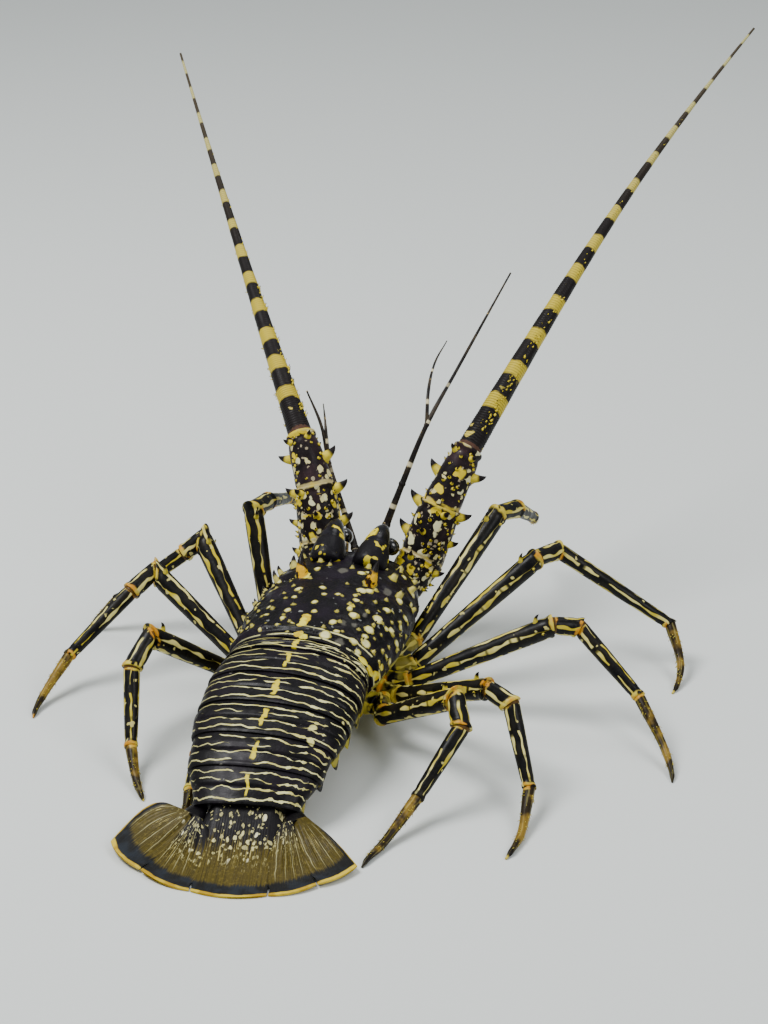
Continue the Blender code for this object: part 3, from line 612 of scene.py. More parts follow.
# Flecks, more of them on the left
fleck_size = 0.13 + ease(turn, 0.3, -0.6) * 0.07
fleck = dots(where, 260.0, fleck_size, 0.5) * ease(bare, -0.5, 1.5)
fleck = fleck * ease(cloud(where, 55.0), 0.36, 0.56)
colour = blend(fleck * 0.8, colour, (0.27, 0.28, 0.26))
# Dim patches, then cream spots with a yellow rim
colour = blend(ease(pale + rough, 0.6, -0.8) * 0.45, colour, (0.2, 0.19, 0.15))
spot = ease(cream + rough, 0.2, -0.4)
spot_colour = blend(ease(cream, 0.0, -1.4), (0.42, 0.36, 0.04), (0.8, 0.76, 0.36))
colour = blend(spot, colour, spot_colour)
# Arcs along the rear edge, stronger to the right
wave = (cloud(where, 90.0) - 0.5) * 1.6
arc_at = length + wave
first_arc = band(arc_at, 1.9, 0.5, 0.4) * ease(turn, -1.1, 0.1)
second_arc = band(arc_at, 8.0, 0.45, 0.4) * ease(turn, -0.15, 0.25)
broken = ease(cloud(where, 150.0), 0.38, 0.44)
arcs = calc("MAXIMUM", first_arc, second_arc) * (broken * ease(turn, 1.15, 1.0))
colour = blend(arcs, colour, (0.7, 0.67, 0.3))
gold = ease(yellow + rough, 0.2, -0.4)
gold_colour = mottle(where, 260.0, 0.4, 0.6, (0.6, 0.42, 0.01), (0.82, 0.72, 0.08))
colour = blend(gold, colour, gold_colour)
# Thorn roots and thorns: yellow at the root, dark toward the tip, orange on the two large ones
root_share = ease(root + rough, 0.7, -0.2) * 0.85
colour = blend(root_share, colour, (0.46, 0.39, 0.05))
on_thorn = ease(height, -0.1, -0.02)
large = calc("COMPARE", kind, LARGE_THORN, 0.3)
flame = mottle(where, 240.0, 0.44, 0.52, (0.02, 0.008, 0.002), (0.82, 0.46, 0.01))
thorn_base = blend(large, (0.56, 0.49, 0.12), flame)
bare_from = height + rough * 0.09 + large * -0.04
thorn_colour = blend(ease(bare_from, 0.38, 0.56), thorn_base, (0.006, 0.004, 0.004))
colour = blend(on_thorn, colour, thorn_colour)
# Lower wall, olive yellow with dark veins
wall = ease(abs(turn), 0.98, 1.12) * ease(cloud(where, 130.0, 3.0), 0.42, 0.52)
colour = blend(wall * ease(height, -0.2, -0.4), colour, (0.34, 0.3, 0.04))
# Seats of the horns, with yellow streaks
on_seat = calc("COMPARE", kind, SEAT, 0.3)
colour = blend(on_seat, colour, (0.006, 0.005, 0.007))
streak = ease(cloud(where, 130.0), 0.57, 0.6)
colour = blend(on_seat * streak, colour, (0.62, 0.5, 0.03))
shell.paint(colour, 0.36, 0.62, 350.0, 0.5, 0.0, 0.5, 0.0005)
make_piece("carapace_shield", carapace_parts, shell, ["carapace"])


# Horns over the eyes: blunt cones that curve forward, glossy black with a yellow crescent on the side
# that faces back and a few pale specks.
HORN_LENGTH = 17
HORN_TIP = 0.8
HORN_CURVE = 3
HORN_BLUNT = 0.55
HORN_ROWS = 24
HORN_SUNK = 0.8
HORN_CAP = 0.3
HORN_WAIST = 0.25
horn_finish = Finish("horn_shell", 0.25)
where = horn_finish.where
across, upward, share = horn_finish.parts("place")
turn = calc("ARCTAN2", upward, across)
waver = (cloud(where, 180.0) - 0.5) * 1.0
crescent = band(share + waver, 0.3, 0.08, 0.05)
crescent = crescent * band(turn, 0.95, 0.6, 0.3)
drop = band(share, 0.1, 0.06, 0.04) * band(turn, 0.5, 0.3, 0.2)
colour = black_shell(where, 160.0, (0.002, 0.002, 0.003), (0.012, 0.009, 0.016), (0.035, 0.03, 0.04))
speck = dots(where, 300.0, 0.13, 0.3)
colour = blend(speck * 0.7, colour, (0.4, 0.37, 0.28))
colour = blend(calc("MAXIMUM", crescent, drop), colour, (0.84, 0.66, 0.02))
colour = blend(ease(share, 0.9, 1.0), colour, (0.1, 0.05, 0.012))
horn_finish.paint(colour, 0.25, 0.45, 600.0, strength=0.3)
for side, word in ((1, "right"), (-1, "left")):
    seat, direction, across, upward = horn_axes(side)
    rows = []
    places = []
    for k in range(HORN_ROWS + 1):
        share = 1 - (1 - k / HORN_ROWS) ** 1.5
        middle = seat + direction * (HORN_LENGTH * share - HORN_SUNK * (k == 0))
        middle.z -= HORN_CURVE * share**2
        radius = HORN_TIP + (HORN_RADIUS - HORN_TIP) * (1 - share) ** HORN_BLUNT
        radius = radius if k < HORN_ROWS else HORN_CAP
        radius -= HORN_WAIST * hill(share - 0.05, 0.03)
        rows.append(circle(middle, across, upward, radius, HORN_SIDES))
        turns = [math.tau * i / HORN_SIDES for i in range(HORN_SIDES)]
        places += [(math.cos(turn) * -side, math.sin(turn), share) for turn in turns]
    part = (np.array(rows), net(rows), {"place": places})
    make_piece(f"horn_{word}_skin", [part], horn_finish, [f"horn_{word}"])


# Plate between the horns: a smooth dark blue wedge of shell in front of the shield, with a thin yellow
# front edge. It belongs to the carapace, and is a piece of its own for its smooth finish.
PLATE_ROWS = 20
PLATE_SIDES = 48
PLATE_SQUARE = 0.35
PLATE_ROUND = 0.6
PLATE_DIP = 0.8
# Slices of the plate, as (how far forward, half width, bottom, top)
FRONT_PLATE = ((92, 9, 29, 43), (104, 8.5, 31, 42.5), (113, 7, 33, 41))
plate_finish = Finish("front_plate_shell", 0.3)
where = plate_finish.where
across, upward, share = plate_finish.parts("place")
colour = black_shell(where, 120.0, (0.004, 0.0045, 0.009), (0.022, 0.026, 0.045), (0.05, 0.055, 0.08))
edge = band(share, 0.95, 0.035, 0.02) * ease(upward, 0.4, 0.7)
colour = blend(edge, colour, (0.6, 0.46, 0.1))
plate_finish.paint(colour, 0.26, 0.42, 500.0, strength=0.25)
rows = []
places = []
for k in range(PLATE_ROWS):
    share = k / (PLATE_ROWS - 1)
    y = FRONT_PLATE[0][0] + (FRONT_PLATE[-1][0] - FRONT_PLATE[0][0]) * share
    reach = [row[0] for row in FRONT_PLATE]
    half, bottom, top = (np.interp(y, reach, [row[i] for row in FRONT_PLATE]) for i in (1, 2, 3))
    shrink = 1 - 0.12 * max(0, (share - 0.94) / 0.06) ** 2
    ring = []
    for i in range(PLATE_SIDES):
        turn = math.tau * i / PLATE_SIDES
        x = math.copysign(abs(math.cos(turn)) ** PLATE_SQUARE, math.cos(turn)) * half * shrink
        z = math.copysign(abs(math.sin(turn)) ** PLATE_ROUND, math.sin(turn)) * (top - bottom) / 2 * shrink
        ring.append((x, y, (top + bottom) / 2 + z - PLATE_DIP * (1 - (x / half) ** 2) * (z > 0)))
        places.append((math.cos(turn), math.sin(turn), share))
    rows.append(ring)
part = (np.array(rows), net(rows), {"place": places})
make_piece("front_plate", [part], plate_finish, [])


# Abdomen: six ring plates with a groove across each, a raised rear rim and pointed side flaps. Each
# point keeps how far it is round from the middle and back along its ring, and the finish draws the
# pale cross lines, the yellow dashes on the middle line and the olive lower rims from those.
BACK_HEIGHT = 54.5
RINGS = (9, 20, 20, 19, 18, 19)
ABDOMEN_LENGTH = sum(RINGS)
FIRST_SLOPE = math.radians(3)
LAST_SLOPE = math.radians(38)
TAIL_TURN = math.radians(9)
ABDOMEN_HALF_WIDTH = ((0, 36), (0.25, 38.5), (0.5, 37.5), (0.75, 33), (1, 25))
ABDOMEN_DEPTH = ((0, 29), (0.4, 27), (0.75, 21), (1, 14.5))
RING_STEP = 0.8
RING_GROOVE = (0.52, 0.6, 0.035)
RING_RIM = (0.93, -0.3, 0.06)
RING_INSETS = {0: 3.0, 1: 0.25}
FLAP_DROP = 6
FLAP_BACK = 4
FLAP_ROOT_SHARE = 0.87
FLAP_TIP_SHARE = 0.9
FLAP_SUNK = 4
FLAP_PLACE = 66
FLAP_SIDE_SHARE = 1.12
FLAP_LONG = 6.5
FLAP_THIN = 1.6
FLAP_BOW = 2.2
FLAP_ROWS = 13
FLAP_SIDES = 20
# Points of a ring's slice: over each half of the back, down each side and across below
BACK_POINTS = 70
SIDE_POINTS = 8
BELOW_POINTS = 24
SIDE_SHARE = 0.62
SIDE_TUCK = 0.14
BELOW_RISE = 2.2
ROW_LENGTH = 0.6
# Lobes that carry the side plates of the tail fan
LOBE_ANGLE = math.radians(34)
LOBE_BACK = 4
LOBE_SIDE = 23.8
LOBE_LENGTH = 14
LOBE_ROWS = 15
LOBE_SIDES = 24
LOBE_PLACE = 50
LOBE_SIDE_SHARE = 0.9
LOBE_PATTERN = 9
# Slices of a lobe, as (reach back from its end, shift outward, half width, thickness)
LOBE_SLICES = ((-14, -3, 3.2, 4.5), (-4.5, -0.5, 6, 6.5), (0, 0, 7.5, 6.5))


def body_station(distance):
    """Point on the back this far behind the shield, with the right, up and forward directions."""
    point = Vector((0, CARAPACE_REAR, BACK_HEIGHT))
    steps = max(1, round(abs(distance)))
    for k in range(steps + 1):
        share = distance * k / steps / ABDOMEN_LENGTH
        slope = FIRST_SLOPE + (LAST_SLOPE - FIRST_SLOPE) * share
        yaw = TAIL_TURN * share**3
        forward = Vector((-math.sin(yaw) * math.cos(slope), math.cos(yaw) * math.cos(slope), math.sin(slope)))
        if k < steps:
            point = point - forward * distance / steps
    right = Vector((math.cos(yaw), math.sin(yaw), 0))
    return point, right, right.cross(forward), forward


def ring_outline(half, depth, step, inset):
    """Slice of a ring plate as (sideways, upward), from the left over the back and round below."""
    half = half - step - inset
    top, side, bottom = -step - inset, -depth * SIDE_SHARE, -depth + inset
    outline = []
    for k in range(-BACK_POINTS, BACK_POINTS + 1):
        turn = math.pi / 2 * (1 - abs(k) / BACK_POINTS)
        across = half * math.cos(turn) ** ARCH_POWER
        outline.append((math.copysign(across, k), side + (top - side) * math.sin(turn) ** ARCH_POWER))
    wall = []
    for part in (k / SIDE_POINTS for k in range(1, SIDE_POINTS + 1)):
        wall.append((half * (1 - SIDE_TUCK * part**1.5), side + (bottom - side) * part))
    outline += wall
    for part in (k / BELOW_POINTS for k in range(1, BELOW_POINTS)):
        below = bottom + BELOW_RISE * math.sin(math.pi * part)
        outline.append((half * (1 - SIDE_TUCK) * (1 - 2 * part), below))
    return outline + [(-across, height) for across, height in reversed(wall)]


CROSS_LINES = (
    (0.14, 0.3, 0.37, 1.0), (0.36, 0.26, 0.42, 0.95), (0.6, 0.28, 0.4, 1.0), (0.86, 0.4, 0.32, 1.1),
)
abdomen_finish = Finish("abdomen_shell", 0.06)
where = abdomen_finish.where
round_at, back_at, ring = abdomen_finish.parts("place")
side_share = abdomen_finish.value("side_share")
long = abdomen_finish.value("ring_length")
colour = black_shell(where, 60.0, (0.002, 0.0015, 0.002), (0.009, 0.006, 0.01), (0.03, 0.025, 0.03))
faint = dots(where, 300.0, 0.12, 0.4) * ease(cloud(where, 60.0), 0.42, 0.6)
colour = blend(faint * 0.6, colour, (0.2, 0.19, 0.16))
seed = ring * 37.0
swelling = ease(side_share, -0.5, 0.6) * 0.55
lines = None
for number, (at, width, gaps, reach) in enumerate(CROSS_LINES):
    span = span_of(round_at, seed + number * 11.0, 0.0)
    wave = (cloud(span, 0.075, 1.0) - 0.5) * 5.5
    fine = (cloud(span, 0.3, 1.0) - 0.5) * 1.0
    offset = back_at - long * at + (wave + fine)
    swell = swelling * ease(cloud(span, 0.17, 1.0), 0.5, 0.62)
    drawn = (swell + (width + 0.2)) * ease(cloud(span, 0.09, 1.0), gaps - 0.06, gaps + 0.1)
    line = ease(abs(offset) - (drawn - 0.2), 0.16, -0.12)
    line = line * ease(abs(side_share), reach, reach - 0.15)
    lines = line if lines is None else calc("MAXIMUM", lines, line)
line_colour = mottle(where, 120.0, 0.42, 0.6, (0.78, 0.74, 0.34), (0.6, 0.54, 0.17))
# Painted shade: the pale cross lines turn to a half-bright copy of their colour from the middle line down the
# left side of the back.
line_colour = blend(ease(side_share, -0.1, -0.9), line_colour, (0.38, 0.35, 0.14))
colour = blend(lines, colour, line_colour)
# Spots between the lines, toward the right
spots = dots(where, 110.0, 0.16, 0.22) * ease(side_share, 0.15, 0.45)
colour = blend(spots, colour, (0.78, 0.72, 0.26))
# A short yellow dash on the middle line of each ring
dash_wave = (cloud(where, 200.0) - 0.5) * 4.0
dash = band(round_at + dash_wave, 0.0, 0.75, 0.5)
dash_at = back_at - long * 0.5
dash = dash * band(dash_at + dash_wave, 0.0, 5.0, 1.5)
colour = blend(dash, colour, (0.74, 0.6, 0.03))
# Olive yellow lower rims, black between
low = ease(abs(side_share), 0.98, 1.1) * ease(cloud(where, 100.0, 3.0), 0.44, 0.52)
colour = blend(low, colour, (0.38, 0.32, 0.03))
under = ease(abs(side_share), 1.5, 1.6)
colour = blend(under, colour, (0.27, 0.2, 0.09))
abdomen_finish.paint(colour, 0.36, 0.6, 420.0, 0.2, lines * 0.6, 0.45, 0.0004)

# Distance round a ring from its middle to the foot of its arch, and the mark of the underside
ROUND_LENGTH = 58
UNDERSIDE = 2


def one_place(count, place, side_share, length):
    """The values of a part whose points all take the pattern of one place."""
    return {"place": [place] * count, "side_share": [side_share] * count, "ring_length": [length] * count}


tail_end, tail_right, tail_up, tail_forward = body_station(ABDOMEN_LENGTH)
tail_back = Vector((-tail_forward.x, -tail_forward.y, 0)).normalized()


def fan_lobe(side):
    """End of the lobe that carries the plates of a side, and the direction across it."""
    middle = tail_end + tail_back * LOBE_BACK + tail_right * side * LOBE_SIDE
    middle.z = tail_end.z * 0.5 + 1.5
    return middle, tail_right * side * math.cos(LOBE_ANGLE) - tail_back * math.sin(LOBE_ANGLE)


start = 0.0
for number, length in enumerate(RINGS, 1):
    rows = []
    places = []
    side_shares = []
    reaches = list(np.linspace(0.4, length - 0.1, round(length / ROW_LENGTH)))
    reaches = [0.03, 0.03, 0.1] + reaches + [length - 0.02, length - 0.02]
    for k, reach in enumerate(reaches):
        distance = start + reach
        share = reach / length
        point, right, up, forward = body_station(distance)
        total = distance / ABDOMEN_LENGTH
        step = RING_STEP * (1 - min(1, share / 0.3))
        for at, depth, width in (RING_GROOVE, RING_RIM):
            step += depth * hill(share - at, width)
        inset = RING_INSETS.get(min(k, len(reaches) - 1 - k), 0)
        outline = ring_outline(along(total, ABDOMEN_HALF_WIDTH), along(total, ABDOMEN_DEPTH), step, inset)
        rows.append([point + right * across + up * height for across, height in outline])
        for i in range(len(outline)):
            side_share = i / BACK_POINTS - 1
            if i >= len(outline) - SIDE_POINTS:
                side_share = -1 - (len(outline) - i) / BACK_POINTS
            elif i > 2 * BACK_POINTS + SIDE_POINTS:
                side_share = UNDERSIDE
            places.append((side_share * ROUND_LENGTH, reach, number))
            side_shares.append(side_share)
    count = len(side_shares)
    values = {"place": places, "side_share": side_shares, "ring_length": [length] * count}
    parts = [(np.array(rows), net(rows), values)]
    if number > 1:
        distance = start + length / 2
        share = distance / ABDOMEN_LENGTH
        half, depth = along(share, ABDOMEN_HALF_WIDTH), along(share, ABDOMEN_DEPTH)
        drop = FLAP_DROP * (1 - 0.5 * share)
        point, right, up, forward = body_station(distance)
        for side in (1, -1):
            root = point + right * side * half * FLAP_ROOT_SHARE - up * (depth - FLAP_SUNK)
            tip = point + right * side * half * FLAP_TIP_SHARE - up * (depth + drop)
            tip -= forward * FLAP_BACK
            flap = []
            for k in range(FLAP_ROWS):
                part = k / (FLAP_ROWS - 1)
                middle = root + (tip - root) * part + forward * FLAP_BOW * part * (1 - part)
                size = (1 - part**1.6) ** 0.8 + 0.03
                flap.append(circle(middle, forward * FLAP_LONG, right * FLAP_THIN, size, FLAP_SIDES))
            place = (side * FLAP_PLACE, length / 2, number)
            values = one_place(FLAP_SIDES * FLAP_ROWS, place, side * FLAP_SIDE_SHARE, length)
            parts.append((np.array(flap), net(flap), values))
    for side in (1, -1) if number == len(RINGS) else ():
        middle, across = fan_lobe(side)
        lobe = []
        for k in range(LOBE_ROWS):
            reach = LOBE_LENGTH * (k / (LOBE_ROWS - 1) - 1)
            reaches, *sizes = zip(*LOBE_SLICES)
            shift, wide, high = (float(np.interp(reach, reaches, size)) for size in sizes)
            centre = middle + tail_back * reach + tail_right * side * shift
            lobe.append(circle(centre, across * wide, UP * high / 2, 1, LOBE_SIDES))
        place = (side * LOBE_PLACE, length / 2, LOBE_PATTERN)
        values = one_place(LOBE_SIDES * LOBE_ROWS, place, side * LOBE_SIDE_SHARE, length)
        parts.append((np.array(lobe), net(lobe), values))
    make_piece(f"abdomen_plate_{number}", parts, abdomen_finish, [f"abdomen_{number}"])
    start += length


# Tail fan: a telson and four side plates with fine ribs that spread from their roots. Each point keeps
# its place across and out along its plate, and the finish draws the spotted black roots, the olive
# brown blades, the dark band and the yellow rim from it.
FAN_CENTRE = 22
FAN_RADIUS = 71
FAN_EDGES = {"telson": (-14.2, 14.2), "inner": (14.8, 34.4), "outer": (35.0, 54.0)}
FAN_ROOTS = {"telson": (-15.5, 15.5), "inner": (-6.8, -0.3), "outer": (0.3, 6.8)}
FAN_SPREAD = {1: 0.94, -1: 1.12}
FAN_ROOT_THICK = 6.5
FAN_EDGE_THICK = 1.3
FAN_TIP_RISE = 5
FAN_BOW = {1: 5, -1: 13}
FAN_LIFT = {1: 0.5, -1: 6}
FAN_DROP = 1.7
FAN_ROWS = 84
FAN_COLUMNS = {"telson": 90, "inner": 60, "outer": 60}
FAN_RIBS = {"telson": 26, "inner": 18, "outer": 18}
FAN_RIB_HEIGHT = 0.18
FAN_TUCK = {1: 4.5, -1: 7.5}
FAN_SCALLOP = 1.2
TUCKED_SHARE = 0.2
TELSON_SEAT = 6.5
TELSON_SUNK = 0.2
PLATE_SUNK = 0.5
FAN_TUCK_DROP = 1.3
TELSON_FLARE = 5
TELSON_FLARE_DROP = 1.2
# Dots of the black roots, as (scale, size, how many, colour)
FAN_DOTS = (
    (560.0, 0.3, 0.75, (0.42, 0.38, 0.16)), (330.0, 0.26, 0.6, (0.66, 0.6, 0.27)),
    (190.0, 0.2, 0.42, (0.8, 0.76, 0.5)),
)
FAN_KINDS = {"telson": 1, "inner": 2, "outer": 3}
FAN_SHARP = 60
# Width of an outer plate, and how far off the side edge counts as on the plates without one
OUTER_WIDTH = 24
NO_EDGE = 99

fan_finish = Finish("fan_shell", 0.06)
where = fan_finish.where
across, out, kind = fan_finish.parts("place")
edge = fan_finish.value("edge")
side_edge = fan_finish.value("side_edge")
fine = cloud(where, 150.0, 3.0) - 0.5
rays = span_of(across * 34.0, out * 1.6, kind * 9.0)
ray = cloud(rays, 1.0, 3.0)
olive = blend(ease(ray, 0.34, 0.64), (0.042, 0.031, 0.003), (0.084, 0.061, 0.006))
olive = blend(ease(cloud(where, 45.0, 3.0), 0.45, 0.7) * 0.6, olive, (0.07, 0.05, 0.008))
olive = blend(ease(cloud(where, 700.0), 0.5, 0.7) * 0.3, olive, (0.2, 0.15, 0.025))
# Black root with fine white and cream dots, ending in dashes along the rays
root_end = out + (ray - 0.5) * 0.7
root_end = root_end + ease(kind, 1.4, 4.2)
root = ease(root_end, 0.5, 0.3)
colour = blend(root, olive, (0.006, 0.005, 0.006))
near_root = ease(root_end, 0.66, 0.42)
along_rays = span_of(across * 0.016, out * 0.034, kind)
for scale, size, chosen, tint in FAN_DOTS:
    spots = dots(along_rays, scale, size, chosen) * near_root
    colour = blend(spots, colour, tint)
dashes = ease(ray, 0.6, 0.64) * (ease(out, 0.2, 0.32) * ease(out, 0.74, 0.52))
dashes = dashes * ease(cloud(where, 190.0), 0.46, 0.55)
colour = blend(dashes, colour, (0.5, 0.42, 0.14))
# Pale rays on the side plates
ray_at = across * 2.3 + fine * 0.25
pale_ray = band(calc("FRACT", ray_at + 10.2), 0.5, 0.025, 0.04)
pale_ray = pale_ray * (ease(out, 0.08, 0.2) * ease(out, 0.84, 0.6))
pale_ray = pale_ray * (calc("GREATER_THAN", kind, 1.5) * 0.75)
colour = blend(pale_ray, colour, (0.46, 0.43, 0.22))
# Dark blue band inside the yellow rim, ragged on its inner side
inner_side = edge + (fine * 3.0 + (ray - 0.5) * 5.0)
band_colour = mottle(where, 130.0, 0.4, 0.65, (0.004, 0.005, 0.007), (0.012, 0.017, 0.026), 3.0)
side_band = ease(side_edge + fine * 2.0, 3.0, 2.0)
dark_band = calc("MAXIMUM", ease(inner_side, 9.4, 7.0), side_band)
colour = blend(dark_band * 0.95, colour, band_colour)
rim = calc("MINIMUM", edge, side_edge + 0.5) + fine * 1.8
rim = ease(rim, 1.7, 1.2)
rim_colour = mottle(where, 110.0, 0.42, 0.6, (0.44, 0.27, 0.008), (0.66, 0.48, 0.035))
colour = blend(rim, colour, rim_colour)
ribs = calc("SINE", across * 190.0) * 0.12
fan_finish.paint(colour, 0.42, 0.66, 500.0, raised=ribs)

fan_middle = Vector((tail_end.x, tail_end.y, 0)) - tail_back * FAN_CENTRE
fan_plates = [("telson", 1, "telson"), ("inner", 1, "uropod_inner_right"), ("inner", -1, "uropod_inner_left")]
fan_plates += [("outer", 1, "uropod_outer_right"), ("outer", -1, "uropod_outer_left")]
for part, side, node in fan_plates:
    if part == "telson":
        middle = tail_end - tail_up * TELSON_SEAT + tail_forward * TELSON_SUNK
        across, upward = tail_right, tail_up
    else:
        middle, across = fan_lobe(side)
        middle -= (tail_back * math.cos(LOBE_ANGLE) + tail_right * side * math.sin(LOBE_ANGLE)) * PLATE_SUNK
        upward = UP
    first_root, last_root = FAN_ROOTS[part]
    first_angle, last_angle = FAN_EDGES[part]
    columns = FAN_COLUMNS[part]
    rows = []
    places = []
    edges = []
    side_edges = []
    for r in range(FAN_ROWS + 1):
        out = r / FAN_ROWS
        thick = FAN_ROOT_THICK + (FAN_EDGE_THICK - FAN_ROOT_THICK) * out**0.6
        line = []
        for k in range(2 * columns + 2):
            top = k <= columns
            c = k if top else 2 * columns + 1 - k
            way = c / columns
            angle = first_angle + (last_angle - first_angle) * way
            if part != "telson":
                angle = FAN_EDGES["inner"][0] + (angle - FAN_EDGES["inner"][0]) * FAN_SPREAD[side]
            angle = math.radians(angle)
            radius = FAN_RADIUS - FAN_SCALLOP * (2 * way - 1) ** 2
            rim = fan_middle + (tail_back * math.cos(angle) + tail_right * side * math.sin(angle)) * radius
            root = middle + across * (first_root + (last_root - first_root) * way)
            rise = FAN_TIP_RISE * max(0.0, math.sin(abs(angle)) - 0.3)
            high = root + upward * FAN_ROOT_THICK * (0.5 if top else -0.5)
            low = Vector((rim.x, rim.y, rise + (FAN_EDGE_THICK if top else 0)))
            point = high + (low - high) * out
            bow = way**2 * math.sin(math.pi * out) if part == "outer" else 0
            point -= tail_back * FAN_BOW[side] * bow
            point.z = low.z + (high.z - low.z) * (1 - out) ** FAN_DROP + FAN_LIFT[side] * bow
            near_side = max(0, 1 - min(way, 1 - way if part == "telson" else 1) / TUCKED_SHARE)
            if part == "telson" and near_side > 0.5:
                flare = (2 * near_side - 1) * math.sin(math.pi * min(1, out * 1.8))
                point += across * math.copysign(TELSON_FLARE, way - 0.5) * flare
                point.z -= TELSON_FLARE_DROP * flare
            elif part != "telson" and near_side:
                tuck = FAN_TUCK[side] * near_side * (1 - 0.5 * out)
                tuck *= math.sin(math.pi * min(1, out * 1.15)) ** 0.5
                point -= tail_right * side * tuck
                point.z -= FAN_TUCK_DROP * min(1, tuck) * top * (1 - out)
            soft = min(1, 12 * way, 12 * (1 - way)) ** 0.5
            crown = 0.5 * math.sin(math.pi * way) ** 0.6 * math.sin(math.pi * min(0.97, out + 0.1))
            rib = FAN_RIB_HEIGHT * math.sin(math.tau * FAN_RIBS[part] * way)
            rib *= math.sin(math.pi * min(out, 0.9)) ** 2
            deep = thick / 2 - 0.3
            round_off = deep * (1 - soft + max(0, (out - 0.97) / 0.03) ** 2 * 0.5)
            point.z += (crown + rib - round_off) if top else min(round_off, deep)
            line.append(point)
            places.append(((2 * way - 1) * side, out, FAN_KINDS[part] + side * 0.25))
            edges.append((rim - root).length * (1 - out))
            side_edge = (1 - way) * OUTER_WIDTH + max(0, 0.3 - out) * 20
            side_edges.append(side_edge if part == "outer" else NO_EDGE)
        rows.append(line)
    values = {"place": places, "edge": edges, "side_edge": side_edges}
    parts = [(np.array(rows), net(rows), values)]
    make_piece(f"{node}_plate", parts, fan_finish, [node], FAN_SHARP)


# Legs: ten walking legs in segments that swell to a rim at their far end, with a dark joint skin in
# each bend, a thorn over each knee and small bristles on the claws. Stripes and rings are drawn by the
# finish from each point's turn round its segment, its share along it and the kind of segment.
STERNUM_FRONT = 68
STERNUM_HALF_FRONT = 18
STERNUM_HALF_REAR = 30
STERNUM_NEAR = 4
COXA_REACH = 8
HIP_HEIGHT = 14.5
# Radii from one end of a segment to the other, each one number or (half width, half height)
COXA_RADII = ((5.0, 6.2), (5.3, 5.9))
ISCHIUM_RADII = ((4.9, 5.3), (4.8, 4.8))
MERUS_RADII = (4.7, 4.6, 5.3, 5.4)
CARPUS_RADII = (4.5, 4.9)
PROPODUS_RADII = (4.2, 4.0, 3.2)
DACTYL_RADII = (2.9, 2.0, 1.3, 0.5)
HIP_BALL, KNEE_BALL, WRIST_BALL, ANKLE_BALL = 4.6, 4.3, 4.1, 2.8
MERUS_THORN = 5.5
SIDE_THORN = 3.0
FOOT_RISE = 0.55
HALF_WAY_LOWEST = 2.6
NEAR_TIP_LOWEST = 1.7
DACTYL_BEND = 0.14
LIMB_FORM = {"sides": 28, "lip": 0.0, "spacing": 1.0, "tip": False}
LIP_ROWS = (2.2, 1.4, 0.6, 0.15)
LIMB_WAIST = 0.5
# How far forward each leg's hip is on the breastplate, then its bend, knee, wrist, ankle and tip
LEGS = {
    "leg_1_right": (58.0, (37, 78, 17), (67, 135, 67), (73, 154, 62), (75, 188, 42), (71, 206, 30)),
    "leg_2_right": (46.5, (43, 55, 16), (96, 98, 62), (104, 114, 60), (163, 122, 21), (171, 86, 0)),
    "leg_3_right": (35.0, (45, 38, 15), (115, 50, 50), (127, 57, 47), (161, 40, 22), (185, 0, 0)),
    "leg_4_right": (24.0, (44, 22, 15), (97, -14, 46), (109, -17, 41), (124, -42, 12), (123, -86, 0)),
    "leg_5_right": (11.0, (41, 2, 14), (84, -25, 45), (90, -38, 37), (76, -66, 13), (62, -110, 0)),
    "leg_1_left": (58.0, (-44, 82, 18), (-60, 108, 66), (-58, 128, 62), (-58, 161, 49), (-56, 183, 35)),
    "leg_2_left": (46.5, (-48, 59, 16), (-84, 94, 52), (-93, 90, 44), (-128, 78, 17), (-142, 71, 0)),
    "leg_3_left": (35.0, (-45, 38, 15), (-98, 58, 48), (-105, 42, 43), (-129, 13, 17), (-134, -24, 0)),
    "leg_4_left": (24.0, (-44, 23, 15), (-74, -12, 49), (-78, -28, 39), (-69, -56, 12), (-53, -83, 0)),
    "leg_5_left": (11.0, (-38, 0, 10), (-38, -36, 9), (-36, -51, 9), (-32, -76, 5.5), (-29, -93, 0)),
}
# Kinds of limb part
COXA, ISCHIUM, MERUS, CARPUS, PROPODUS, DACTYL = range(6)
JOINT_SKIN = 8
BALL_ROWS = 12
BALL_SIDES = 20
BALL_END = 0.05
EAST = Vector((1, 0, 0))
NORTH = Vector((0, 1, 0))


def joint_plane(before, joint, after):
    """Normal of the plane that halves the bend at a joint."""
    return ((joint - before).normalized() + (after - joint).normalized()).normalized()


def limb_values(count, kind, thorn=OFF_THORN, place=(0, 0, 0), share=0.5):
    """The values of a part whose points all take the pattern of one place."""
    thorns = thorn if isinstance(thorn, list) else [thorn] * count
    return {"place": [place] * count, "share": [share] * count, "kind": [kind] * count, "thorn": thorns}


